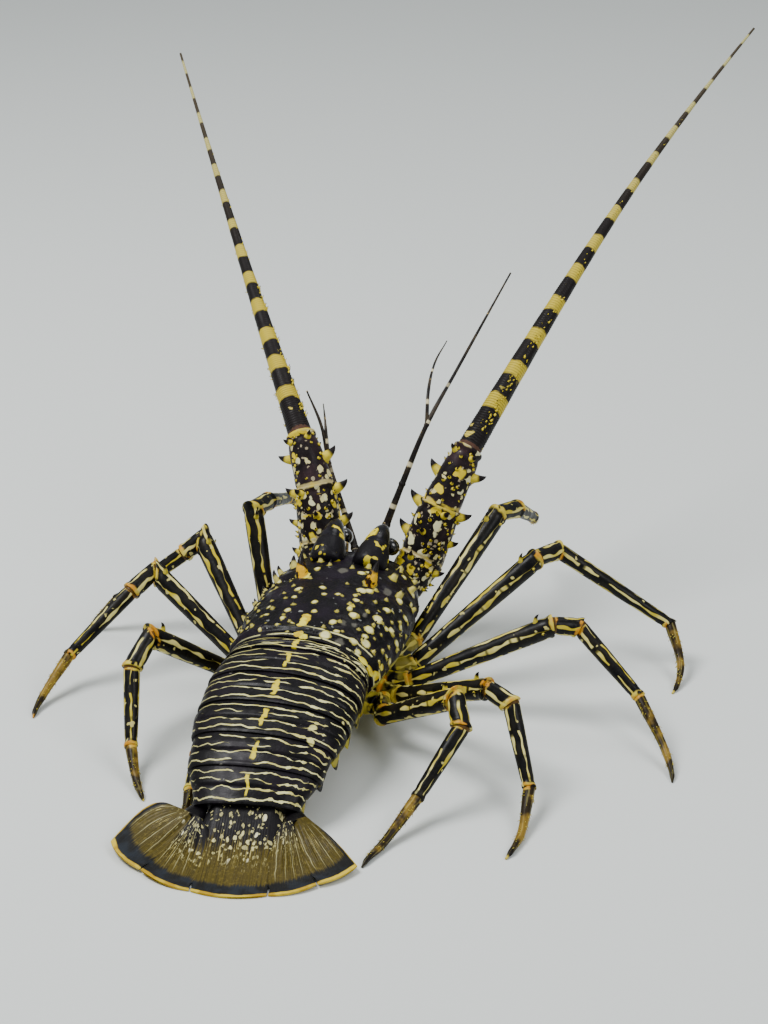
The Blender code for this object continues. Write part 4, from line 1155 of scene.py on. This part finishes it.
def limb_part(points, radii, kind, first_normal=None, last_normal=None, **form):
    """Limb along a smooth line through the points. radii holds a radius or (half width, half height).

    A given normal cuts that end. form may hold the number of sides, the height of the lip at the far
    end, the spacing of the rows, and whether the far end is a tip. Returns points, faces and values.
    """
    sides, lip, spacing, tip = (form.get(key, usual) for key, usual in LIMB_FORM.items())
    points = [Vector(point) for point in points]
    radii = [(radius, radius) if isinstance(radius, (int, float)) else radius for radius in radii]
    lengths = [(b - a).length for a, b in zip(points, points[1:])]
    total = sum(lengths)
    marks = np.concatenate([[0], np.cumsum(lengths)])
    tangents = [(b - a).normalized() for a, b in zip(points, points[1:])]
    tangents = [tangents[0]] + [(a + b).normalized() for a, b in zip(tangents, tangents[1:])] + [tangents[-1]]
    count = max(6, round(total / spacing))
    reaches = [total * k / count for k in range(count + 1)]
    if lip:
        reaches = sorted(reaches + [LIP_ROWS[-1]] + [total - away for away in LIP_ROWS])
    rows = []
    places = []
    across = tangents[0].cross(UP)
    across = across if across.length > 0.1 else EAST
    for reach in reaches:
        k = min(len(lengths) - 1, int(np.searchsorted(marks, reach, "right")) - 1)
        part = (reach - marks[k]) / lengths[k]
        p0, p1, m0, m1 = points[k], points[k + 1], tangents[k] * lengths[k], tangents[k + 1] * lengths[k]
        point = p0 * (2 * part**3 - 3 * part**2 + 1) + m0 * (part**3 - 2 * part**2 + part)
        point += p1 * (3 * part**2 - 2 * part**3) + m1 * (part**3 - part**2)
        run = (tangents[k] * (1 - part) + tangents[k + 1] * part).normalized()
        across = (across - run * across.dot(run)).normalized()
        upward = across.cross(run)
        eased = part * part * (3 - 2 * part)
        wide, high = (radii[k][i] + (radii[k + 1][i] - radii[k][i]) * eased for i in (0, 1))
        if lip:
            to_end = total - reach
            swell = lip * (hill(to_end - 0.9, 1.1) - hill(to_end - 3.4, 1.2)) - LIMB_WAIST * hill(reach, 1.4)
            wide, high = wide + swell, high + swell
        ring = []
        for i in range(sides):
            turn = math.tau * (i + 0.5) / sides
            offset = across * wide * math.cos(turn) + upward * high * math.sin(turn)
            for normal, away in ((first_normal, reach), (last_normal, total - reach)):
                fade = max(0, 1 - away / (2.5 * max(wide, high))) if normal is not None else 0
                if fade:
                    offset = offset - run * (offset.dot(normal) / run.dot(normal)) * fade
            ring.append(point + offset)
            places.append((math.cos(turn), math.sin(turn), reach))
        rows.append(ring)
    middle = sum(rows[-1], Vector()) / sides
    inward, onward = (0.2, tangents[-1] * 0.1) if tip else (0.7, Vector())
    rows.append([middle + (corner - middle) * inward + onward for corner in rows[-1]])
    places += places[-sides:]
    values = limb_values(len(places), kind)
    values |= {"place": places, "share": [place[2] / total for place in places]}
    return np.array(rows), net(rows), values


def ball_part(middle, radius, kind=JOINT_SKIN):
    """Joint skin that fills the bend between two segments."""
    rows = []
    for tilt in np.linspace(BALL_END, math.pi - BALL_END, BALL_ROWS):
        height = middle + UP * radius * math.cos(tilt)
        rows.append(circle(height, EAST, NORTH, radius * math.sin(tilt), BALL_SIDES))
    return np.array(rows), net(rows), limb_values(BALL_ROWS * BALL_SIDES, kind)


def spine_part(root, outward, lean, length, kind, width=1.0, steepness=1.0):
    """Thorn of a limb."""
    points, faces, heights = thorn_part(root, outward, lean, length, width, steepness)
    return points, faces, limb_values(len(heights), kind, heights)


# Bristles and small points: a tree stands cones on the part of a piece that its bristly attribute picks
# out. They lean along the limb, and where the attribute is small they are short and few.
SHORTEST_BRISTLE = 0.65
LONGEST_BRISTLE = 1.2
bristle_tree = bpy.data.node_groups.new("bristles", "GeometryNodeTree")
BRISTLE_INPUTS = {
    "Geometry": "Geometry", "Density": "Float", "Length": "Float", "Width": "Float",
    "Sides": "Int", "Lean": "Vector", "Seed": "Int", "Finish": "Material",
}
for key, kind in BRISTLE_INPUTS.items():
    bristle_tree.interface.new_socket(name=key, in_out="INPUT", socket_type="NodeSocket" + kind)
bristle_tree.interface.new_socket(name="Geometry", in_out="OUTPUT", socket_type="NodeSocketGeometry")
given = put(bristle_tree, "NodeGroupInput", {}).outputs
given = {key: Field(given[key]) for key in BRISTLE_INPUTS}
bristly = field(bristle_tree, "GeometryNodeInputNamedAttribute", {"Name": "bristly"}, data_type="FLOAT")
cone = {"Vertices": given["Sides"], "Radius Bottom": given["Width"], "Depth": given["Length"]}
cone = field(bristle_tree, "GeometryNodeMeshCone", {**cone, "Side Segments": 3, "Radius Top": 0.0}, "Mesh")
up_cone = field(bristle_tree, "GeometryNodeInputPosition", {})
up_cone = field(bristle_tree, "ShaderNodeSeparateXYZ", {0: up_cone}, 2) / given["Length"]
cone = {"Geometry": cone, "Name": "thorn", "Value": up_cone}
cone = field(bristle_tree, "GeometryNodeStoreNamedAttribute", cone)
cone = field(bristle_tree, "GeometryNodeSetShadeSmooth", {"Geometry": cone})
seats = {"Mesh": given["Geometry"], "Density": bristly * given["Density"], "Seed": given["Seed"]}
seats = put(bristle_tree, "GeometryNodeDistributePointsOnFaces", seats).outputs
stands = {0: Field(seats["Normal"]), 1: given["Lean"]}
stands = field(bristle_tree, "ShaderNodeVectorMath", stands, operation="ADD")
stands = field(bristle_tree, "FunctionNodeAlignRotationToVector", {"Vector": stands}, axis="Z")
varied = {2: SHORTEST_BRISTLE, 3: LONGEST_BRISTLE, 8: given["Seed"]}
varied = field(bristle_tree, "FunctionNodeRandomValue", varied, 1, data_type="FLOAT")
varied = varied * calc("MINIMUM", bristly, 1.0)
grown = {"Points": Field(seats["Points"]), "Instance": cone, "Rotation": stands, "Scale": varied}
grown = field(bristle_tree, "GeometryNodeInstanceOnPoints", grown)
joined = put(bristle_tree, "GeometryNodeJoinGeometry", {"Geometry": given["Geometry"]})
bristle_tree.links.new(grown.socket, joined.inputs["Geometry"])
realized = field(bristle_tree, "GeometryNodeRealizeInstances", {"Geometry": Field(joined.outputs[0])})
dressed = {"Geometry": realized, "Material": given["Finish"]}
dressed = field(bristle_tree, "GeometryNodeSetMaterial", dressed)
put(bristle_tree, "NodeGroupOutput", {"Geometry": dressed})


def grow_bristles(made, material, sizes):
    """Grows the bristles on a piece and leaves it a plain mesh. Sizes are in metres."""
    modifier = made.modifiers.new("bristles", "NODES")
    modifier.node_group = bristle_tree
    wanted = {"Sides": 5, **sizes, "Finish": material}
    for item in bristle_tree.interface.items_tree:
        if item.in_out == "INPUT" and item.name in wanted:
            modifier[item.identifier] = wanted[item.name]
    depsgraph = bpy.context.evaluated_depsgraph_get()
    grown = made.evaluated_get(depsgraph)
    mesh = bpy.data.meshes.new_from_object(grown, preserve_all_data_layers=True, depsgraph=depsgraph)
    made.modifiers.remove(modifier)
    made.data = mesh


def bristly_part(part, first, last, lowest=0.0, chosen=None):
    """Gives a limb part its bristly attribute, 1 between two shares of its length and above a height."""
    points, faces, values = part
    shares = np.array(values["share"])
    flat = np.reshape(points, (-1, 3))
    picked = (shares > first) & (shares < last) & (flat[:, 2] > lowest)
    if chosen is not None:
        picked &= chosen
    return points, faces, {**values, "bristly": picked.astype(float)}


# Stripes along the segments, as (turn round the segment, half width, how rare, seed)
LEG_STRIPES = (
    (1.55, 0.1, 0.41, 0), (0.35, 0.16, 0.39, 5), (2.75, 0.15, 0.38, 9), (-0.9, 0.22, 0.4, 14),
    (-2.3, 0.2, 0.4, 21),
)
leg_finish = Finish("leg_shell", 0.06)
where = leg_finish.where
across, upward, reach = leg_finish.parts("place")
share = leg_finish.value("share")
kind = leg_finish.value("kind")
height = leg_finish.value("thorn")
turn = calc("ARCTAN2", upward, across)
rough = cloud(where, 160.0) - 0.5
colour = black_shell(where, 120.0, (0.002, 0.002, 0.002), (0.01, 0.008, 0.005), (0.032, 0.028, 0.02))
for at, width, start, seed in LEG_STRIPES:
    span = span_of(reach, kind * 31.0, seed)
    bend = (cloud(span, 0.1, 1.0) - 0.5) * 0.8
    away = abs(turn - (bend + at))
    thick = ease(cloud(span, 0.09, 1.0), 0.3, 0.7) * (1.6 * width)
    stripe = ease(away - thick, 0.05, -0.05)
    stripe = stripe * ease(cloud(span, 0.13, 1.0), start - 0.02, start + 0.03)
    tint = mottle(where, 70.0, 0.4, 0.6, (0.74, 0.66, 0.22), (0.56, 0.44, 0.025))
    colour = blend(stripe, colour, tint)
colour = blend(dots(where, 230.0, 0.18, 0.4) * 0.85, colour, (0.6, 0.53, 0.18))
# Olive yellow hips and undersides, dark brown claws
hip_mask = ease(kind, 1.4, 0.6) * ease(cloud(where, 130.0, 3.0), 0.42, 0.54)
colour = blend(hip_mask, colour, (0.42, 0.35, 0.035))
claw = ease(kind, 4.5, 4.9)
claw_colour = mottle(where, 90.0, 0.4, 0.56, (0.26, 0.16, 0.02), (0.02, 0.012, 0.004), 3.0)
claw_colour = blend(ease(share, 0.75, 0.9), claw_colour, (0.008, 0.005, 0.003))
colour = blend(claw * 0.85, colour, claw_colour)
# Yellow and orange rings at the joints
to_end = reach / calc("MAXIMUM", share, 0.02) - reach
ring = calc("MINIMUM", reach, to_end) + rough * 4.0
ring = ease(ring, 2.4, 1.2) * ease(cloud(where, 150.0), 0.45, 0.52)
ring_colour = mottle(where, 110.0, 0.45, 0.6, (0.66, 0.52, 0.06), (0.6, 0.26, 0.012))
colour = blend(ring * 0.9, colour, ring_colour)
skin = calc("COMPARE", kind, JOINT_SKIN, 0.3)
colour = blend(skin, colour, (0.09, 0.045, 0.008))
on_thorn = ease(height, -0.1, -0.02)
thorn_colour = blend(ease(height, 0.45, 0.7), (0.62, 0.5, 0.05), (0.006, 0.004, 0.004))
colour = blend(on_thorn, colour, thorn_colour)
leg_finish.paint(colour, 0.36, 0.58, 450.0)

CLAW_BRISTLES = {"Density": 160000.0, "Length": 0.0015, "Width": 0.00022}
CLAW_LEAN = 1.3
BRISTLE_LOWEST = 2.0
# First and last share of a part that has no bristles
NOWHERE = (1, 0)
for number, (name, (hip_forward, *joints)) in enumerate(LEGS.items()):
    bend, knee, wrist, ankle, tip = (Vector(joint) for joint in joints)
    side = 1 if bend.x > 0 else -1
    share = (hip_forward - STERNUM_NEAR) / (STERNUM_FRONT - STERNUM_NEAR)
    half = STERNUM_HALF_REAR + (STERNUM_HALF_FRONT - STERNUM_HALF_REAR) * share
    wall = Vector((side * (STERNUM_FRONT - STERNUM_NEAR), STERNUM_HALF_REAR - STERNUM_HALF_FRONT, 0))
    wall.normalize()
    hip = Vector((side * half, hip_forward, HIP_HEIGHT)) - wall * 0.4
    coxa_end = hip + wall * (COXA_REACH + 0.7)
    hip_plane = joint_plane(hip, coxa_end, bend)
    bend_plane = joint_plane(coxa_end, bend, knee)
    knee_plane = joint_plane(bend, knee, wrist)
    wrist_plane = joint_plane(knee, wrist, ankle)
    ankle_plane = joint_plane(wrist, ankle, tip)
    run = (knee - bend).normalized()
    out = run.cross(UP).cross(run).normalized()
    merus = [bend, bend.lerp(knee, 0.12), bend.lerp(knee, 0.85), knee - run * 0.2]
    parts = [
        limb_part([hip, coxa_end], COXA_RADII, COXA, wall, hip_plane, lip=0.3),
        ball_part(coxa_end, HIP_BALL),
        limb_part([coxa_end, bend], ISCHIUM_RADII, ISCHIUM, hip_plane, bend_plane, lip=0.25),
        limb_part(merus, MERUS_RADII, MERUS, bend_plane, knee_plane, lip=0.35),
        spine_part(bend.lerp(knee, 0.9) + out * 4.6, out, run, MERUS_THORN, MERUS),
        spine_part(bend.lerp(knee, 0.93) + run.cross(out) * 4.7, run.cross(out), run, SIDE_THORN, MERUS),
    ]
    make_piece(f"{name}_upper_shell", parts, leg_finish, [f"{name}_upper"])
    propodus = [wrist, wrist.lerp(ankle, 0.15), ankle]
    parts = [
        ball_part(knee, KNEE_BALL),
        limb_part([knee, wrist], CARPUS_RADII, CARPUS, knee_plane, wrist_plane, lip=0.3),
        ball_part(wrist, WRIST_BALL),
        limb_part(propodus, PROPODUS_RADII, PROPODUS, wrist_plane, ankle_plane, lip=0.25),
    ]
    make_piece(f"{name}_shin_shell", parts, leg_finish, [f"{name}_shin"])
    bow = (ankle - wrist).normalized() * (tip - ankle).length * DACTYL_BEND
    half_way = ankle.lerp(tip, 0.5) + bow
    near_tip = ankle.lerp(tip, 0.85) + bow / 2
    half_way.z = max(half_way.z, HALF_WAY_LOWEST)
    near_tip.z = max(near_tip.z, NEAR_TIP_LOWEST)
    foot = tip + UP * (FOOT_RISE if tip.z == 0 else 0)
    dactyl = [ankle, half_way, near_tip, foot]
    claw = limb_part(dactyl, DACTYL_RADII, DACTYL, ankle_plane, spacing=0.8, tip=True)
    ankle_skin = bristly_part(ball_part(ankle, ANKLE_BALL), *NOWHERE)
    parts = [ankle_skin, bristly_part(claw, 0.08, 0.9, BRISTLE_LOWEST)]
    sizes = {**CLAW_BRISTLES, "Lean": (tip - ankle).normalized() * CLAW_LEAN, "Seed": number}
    make_piece(f"{name}_claw_shell", parts, leg_finish, [f"{name}_claw"], bristles=sizes)


# Antennae: three heavy thorny segments on each side in purple brown with pale dots, and a long
# tapering flagellum in fine rings with rows of tiny points, banded dark and yellow.
ANTENNA_RADII = {"base": (10.2, 12.0), "arm": (12.3, 11.0), "wrist": (10.6, 7.8), "flagellum": (6.6, 0.7)}
ANTENNAE = {
    "right": ((21.5, 100, 30), (30, 117, 44), (38, 127, 72), (49, 141, 99), (149, 440, 259)),
    "left": ((-21.5, 100, 30), (-24.5, 116, 45), (-31.5, 128, 74), (-43, 140, 97), (-200, 400, 230)),
}
ANTENNA_THORNS = {
    "base": ((0.8, 5, 6), (0.75, 95, 5)),
    "arm": ((0.35, 185, 9), (0.9, 180, 9), (0.5, 100, 5), (0.88, 60, 6), (0.88, -5, 8), (0.4, 5, 6)),
    "wrist": ((0.45, 185, 9), (0.9, 130, 5), (0.88, 50, 5), (0.6, 0, 8)),
}
FLAGELLUM_SAG = {"right": -13, "left": 4}
FLAGELLUM_TAPER = 1.5
FLAGELLUM_RING = 1.6
FLAGELLUM = 3
# Knobs on base, arm and wrist, as (number to the square metre, length in metres), and their form
KNOBS = ((30000.0, 0.0026), (26000.0, 0.0022), (20000.0, 0.0018))
KNOB_FORM = {"Width": 0.001, "Sides": 8}
LASH_POINTS = {"Density": 150000.0, "Length": 0.0026, "Width": 0.0006}
LASH_SIDES = 16
LASH_ROWS = (1, 2, 9, 10)
LASH_STEPS = 14
RING_DEPTH = 0.055

ANTENNA_DOTS = (
    (330, 0.25, 0.8, (0.34, 0.28, 0.18)), (220, 0.3, 0.8, (0.66, 0.6, 0.28)),
    (115, 0.32, 0.7, (0.74, 0.56, 0.025)), (160, 0.3, 0.6, (0.78, 0.74, 0.42)),
)
THORN_LEAN = 0.7
THORN_WIDE = 1.4
BAND_LENGTH = 24
antenna_finish = Finish("antenna_shell", 0.04)
where = antenna_finish.where
across, upward, reach = antenna_finish.parts("place")
share = antenna_finish.value("share")
kind = antenna_finish.value("kind")
height = antenna_finish.value("thorn")
rough = cloud(where, 160.0) - 0.5
colour = black_shell(where, 70.0, (0.007, 0.004, 0.005), (0.036, 0.018, 0.022), (0.09, 0.055, 0.05))
near_head = ease(kind + share, 2.7, 0.8)
colour = blend(near_head * 0.8, colour, (0.004, 0.003, 0.003))
for scale, size, chosen, tint in ANTENNA_DOTS:
    shown = near_head * (0.75 * chosen) + 0.45 * chosen
    colour = blend(dots(where, scale, size, shown), colour, tint)
ends = rough * 0.12 + share
rings = calc("MAXIMUM", ease(ends, 0.08, 0.04), ease(ends, 0.95, 0.98))
rings = rings * ease(cloud(where, 120.0), 0.45, 0.53)
ring_colour = mottle(where, 90.0, 0.42, 0.6, (0.64, 0.5, 0.05), (0.5, 0.42, 0.2))
colour = blend(rings * calc("LESS_THAN", kind, 2.5), colour, ring_colour)
# Flagellum: bands of dark and yellow that get paler toward the tip
on_lash = calc("COMPARE", kind, FLAGELLUM, 0.3)
swing = reach * (math.tau / BAND_LENGTH) + rough * 1.2
swing = calc("SINE", swing) + (cloud(where, 30.0) - 0.5) * 1.0
pale = blend(ease(share, 0.25, 0.95), (0.52, 0.4, 0.03), (0.46, 0.42, 0.17))
deep = blend(ease(share, 0.4, 1.0), (0.008, 0.006, 0.006), (0.06, 0.045, 0.025))
lash = blend(ease(swing, 0.1, 0.5) * ease(reach, 12.0, 20.0), deep, pale)
lash = blend(dots(where, 150.0, 0.2, 0.4) * ease(reach, 60.0, 20.0), lash, (0.6, 0.48, 0.08))
ringed = ease(calc("SINE", reach * (math.tau / FLAGELLUM_RING)), 0.5, 1.0)
lash = blend(ringed * 0.45, lash, (0.012, 0.008, 0.006))
colour = blend(on_lash, colour, lash)
on_thorn = ease(height, -0.1, -0.02)
thorn_colour = blend(ease(height, 0.4, 0.62), (0.72, 0.57, 0.04), (0.008, 0.005, 0.006))
colour = blend(on_thorn, colour, thorn_colour)
skin = calc("COMPARE", kind, JOINT_SKIN, 0.3)
colour = blend(skin, colour, (0.07, 0.032, 0.02))
antenna_finish.paint(colour, 0.4, 0.62, 520.0, strength=0.5, depth=0.0004)

for word, joints in ANTENNAE.items():
    side = 1 if word == "right" else -1
    joints = [Vector(joint) for joint in joints]
    planes = [NORTH] + [joint_plane(a, b, c) for a, b, c in zip(joints, joints[1:], joints[2:])]
    for k, part in enumerate(("base", "arm", "wrist")):
        start, end = joints[k], joints[k + 1]
        first, last = ANTENNA_RADII[part]
        run = (end - start).normalized()
        line = [start - run * 0.3 * (k > 0), start.lerp(end, 0.5), end + run * 0.1]
        radii = [first - 0.3, (first + last) / 2, last]
        body = limb_part(line, radii, k, planes[k], planes[k + 1], sides=44, lip=0.45, spacing=0.8)
        parts = [body, ball_part(end, last * 0.86)]
        outer = (EAST * side - run * EAST.dot(run) * side).normalized()
        rearward = outer.cross(run) * side
        for share, turn, length in ANTENNA_THORNS[part]:
            turn = math.radians(turn)
            stands = outer * math.cos(turn) + rearward * math.sin(turn)
            radius = (first + (last - first) * share) * 0.95
            root = start.lerp(end, share) + stands * radius
            parts.append(spine_part(root, stands, run, length, k, THORN_WIDE, THORN_LEAN))
        parts = [bristly_part(body, 0.12, 0.92)] + [bristly_part(other, *NOWHERE) for other in parts[1:]]
        density, knob_length = KNOBS[k]
        sizes = {"Density": density, "Length": knob_length, **KNOB_FORM, "Lean": run * 0.45, "Seed": k + 3}
        node = f"antenna_{word}_{part}"
        make_piece(f"{node}_shell", parts, antenna_finish, [node], bristles=sizes)
    start, end = joints[3], joints[4]
    first, last = ANTENNA_RADII["flagellum"]
    line = []
    radii = []
    for step in range(LASH_STEPS + 1):
        share = step / LASH_STEPS
        point = start.lerp(end, share)
        point.z -= FLAGELLUM_SAG[word] * math.sin(math.pi * share)
        line.append(point)
        radii.append(last + (first - last) * (1 - share) ** FLAGELLUM_TAPER)
    form = {"sides": LASH_SIDES, "spacing": 0.53, "tip": True}
    points, faces, values = limb_part(line, radii, FLAGELLUM, planes[3], **form)
    middles = points.mean(axis=1, keepdims=True)
    reaches = np.array(values["place"])[:, 2].reshape(points.shape[:2])
    notch = 1 - RING_DEPTH * np.clip(np.sin(reaches * math.tau / FLAGELLUM_RING), 0, 1) ** 2
    points = middles + (points - middles) * notch[..., None]
    column = np.arange(len(values["share"])) % LASH_SIDES
    points, faces, values = bristly_part((points, faces, values), 0.03, 0.86, 0.0, np.isin(column, LASH_ROWS))
    values["bristly"] *= 1.1 - np.array(values["share"])
    sizes = {**LASH_POINTS, "Lean": (end - start).normalized() * 0.9, "Seed": side + 8}
    node = f"antenna_{word}_flagellum"
    parts = [(points, faces, values)]
    make_piece(f"{node}_skin", parts, antenna_finish, [node], bristles=sizes)


# Antennules: thin two branched feelers between the antennae, dark with a pale ring at each joint. Each
# is a stem of five short stretches with a ball at its first three joints, and forks at the third.
ANTENNULES = {
    "right": ((3.8, 113.3, 37), (10, 120, 60), (17, 126, 82), (27, 138, 112), (36, 165, 133), (50, 230, 167)),
    "left": (
        (-3.8, 113.3, 37), (-8, 122, 43), (-18, 138, 54), (-31, 152, 77), (-38, 161, 95), (-49, 171, 110),
    ),
}
ANTENNULE_RADII = (2.4, 0.5)
BRANCH_RADII = (1.1, 0.9, 0.6, 0.3)
JOINT_SWELL = 1.18
ANTENNULE_BRANCHES = {
    "right": ((-2, 10, 13), (-5, 34, 20), (-6, 66, 22)),
    "left": ((-4, 8, 15), (-6, 13, 20), (-9, 20, 26)),
}
antennule_finish = Finish("antennule_shell", 0.12)
where = antennule_finish.where
across, upward, reach = antennule_finish.parts("place")
share = antennule_finish.value("share")
joint = calc("FRACT", reach / 24.0)
ring = band(joint, 0.5, 0.05, 0.04) * ease(share, 0.62, 0.5)
colour = black_shell(where, 120.0, (0.008, 0.006, 0.006), (0.05, 0.035, 0.02), (0.12, 0.09, 0.05))
colour = blend(dots(where, 300.0, 0.15, 0.4) * 0.8, colour, (0.42, 0.3, 0.1))
colour = blend(ring, colour, (0.66, 0.58, 0.36))
fine_rings = calc("SINE", reach * 5.0) * 0.5
antennule_finish.paint(colour, 0.38, 0.56, 500.0, raised=fine_rings, strength=0.3, depth=0.0002)
for word, joints in ANTENNULES.items():
    first, last = ANTENNULE_RADII
    root, *joints = (Vector(joint) for joint in joints)
    radii = [first + (last - first) * k / len(joints) for k in range(len(joints) + 1)]
    fork = joints[2]
    branch = [fork] + [fork + Vector(reach) for reach in ANTENNULE_BRANCHES[word]]
    parts = [
        limb_part([root - NORTH] + joints, radii, 0, sides=14, tip=True),
        limb_part(branch, BRANCH_RADII, 1, sides=12, tip=True),
    ]
    parts += [ball_part(joints[k], radii[k + 1] * JOINT_SWELL, 0) for k in range(3)]
    make_piece(f"antennule_{word}_skin", parts, antennule_finish, [f"antennule_{word}"])


# Feeding legs under the head, with the shell of the walking legs. They reach forward from the front of
# the breastplate, and bristles fringe their inner side.
MAXILLIPED = ((7, 68.3, 14), (9, 82, 12), (11, 96, 13), (8, 106, 14), (6, 118, 19))
MAXILLIPED_RADII = ((4.2, 4.2), (4.2, 4.6), (3.8, 4.0), (3.0, 3.0), (1.0, 1.0))
MAXILLIPED_BRISTLES = {"Density": 180000.0, "Length": 0.0026, "Width": 0.00025}
MAXILLIPED_LEAN = Vector((0, 0.8, 0.2))
for side, word in ((1, "right"), (-1, "left")):
    joints = [Vector((side * x, y, z)) for x, y, z in MAXILLIPED]
    joints[0].y -= 0.4
    body = limb_part(joints, MAXILLIPED_RADII, ISCHIUM, NORTH, tip=True)
    inward = ((body[0] - body[0].mean(axis=1, keepdims=True))[..., 0] * side < 0.3).ravel()
    sizes = {**MAXILLIPED_BRISTLES, "Lean": MAXILLIPED_LEAN, "Seed": side + 20}
    parts = [bristly_part(body, 0.3, 0.97, 0.0, inward)]
    node = f"maxilliped_{word}"
    make_piece(f"{node}_shell", parts, leg_finish, [node], bristles=sizes)


# Breastplate: one broad plate in the shell of the hips, olive yellow and dark, that carries the legs. A
# shallow groove crosses its underside between each pair of legs.
STERNUM_BOTTOM = 8
STERNUM_TOP = 21.7
STERNUM_MIDDLE = 15
STERNUM_SHOULDER = 6.9
STERNUM_ROWS = 64
STERNUM_SIDES = 60
GROOVE_DEPTH = 0.9
GROOVE_FIRST = 7
GROOVE_SPACING = 12.3
STERNUM_REACH = 40
rows = []
places = []
for k in range(STERNUM_ROWS + 1):
    share = k / STERNUM_ROWS
    y = STERNUM_NEAR + (STERNUM_FRONT - STERNUM_NEAR) * share
    half = STERNUM_HALF_REAR + (STERNUM_HALF_FRONT - STERNUM_HALF_REAR) * share
    ring_depth = GROOVE_DEPTH * (0.5 + 0.5 * math.cos(math.tau * (k - GROOVE_FIRST) / GROOVE_SPACING)) ** 6
    ring = []
    for i in range(STERNUM_SIDES):
        turn = math.tau * i / STERNUM_SIDES
        x = math.copysign(abs(math.cos(turn)) ** PLATE_SQUARE, math.cos(turn)) * half
        if math.sin(turn) < 0:
            groove = ring_depth * min(1, abs(x) / 6)
            low = STERNUM_MIDDLE - STERNUM_BOTTOM - groove
            z = STERNUM_MIDDLE - low * abs(math.sin(turn)) ** 0.5
        else:
            z = STERNUM_TOP - 7 + STERNUM_SHOULDER * abs(math.sin(turn)) ** 0.3
        ring.append((x, y, z))
        places.append((math.cos(turn), math.sin(turn), share * STERNUM_REACH))
    rows.append(ring)
values = {**limb_values(len(places), COXA), "place": places}
make_piece("breastplate", [(np.array(rows), net(rows), values)], leg_finish, ["sternum"])


# Eyes: mottled stalks that swell to glossy black balls, in one skin, with a pale ring where the stalk
# meets the ball.
EYE_RADIUS = 5
STALK_RADIUS = 2.6
EYE_ROWS = 16
EYE_FIRST = 0.2
EYE_ARC = 0.78
EYE_FLATNESS = 0.9
EYE_STALKS = {"right": ((8.5, 100.3, 47), (13, 105.5, 51)), "left": ((-8, 100.3, 47), (-9.4, 105.8, 52.5))}
eye_finish = Finish("eye_ball", 0.8, 0.5)
where = eye_finish.where
share = eye_finish.value("share")
waver = (cloud(where, 300.0) - 0.5) * 0.1
stalk = ease(share + waver, 0.52, 0.46)
colour = black_shell(where, 150.0, (0.003, 0.003, 0.004), (0.01, 0.008, 0.01), (0.012, 0.01, 0.012))
stalk_colour = mottle(where, 260.0, 0.45, 0.58, (0.02, 0.012, 0.01), (0.36, 0.24, 0.06))
colour = blend(stalk, colour, stalk_colour)
colour = blend(band(share + waver, 0.5, 0.025, 0.02), colour, (0.56, 0.42, 0.16))
eye_finish.paint(colour, 0.1, 0.16, 3000.0, strength=0.08, depth=0.0001)
for word, (root, ball) in EYE_STALKS.items():
    root, ball = Vector(root), Vector(ball)
    run = (ball - root).normalized()
    line = [root - run * 0.4]
    radii = [STALK_RADIUS]
    for k in range(EYE_ROWS + 1):
        turn = math.pi * (EYE_FIRST + EYE_ARC * k / EYE_ROWS)
        line.append(ball + run * EYE_RADIUS * (1 - math.cos(turn)) * EYE_FLATNESS)
        radii.append(EYE_RADIUS * math.sin(turn))
    part = limb_part(line, radii, 0, NORTH, sides=32, spacing=0.35, tip=True)
    make_piece(f"eye_{word}_ball", [part], eye_finish, [f"eye_{word}"])
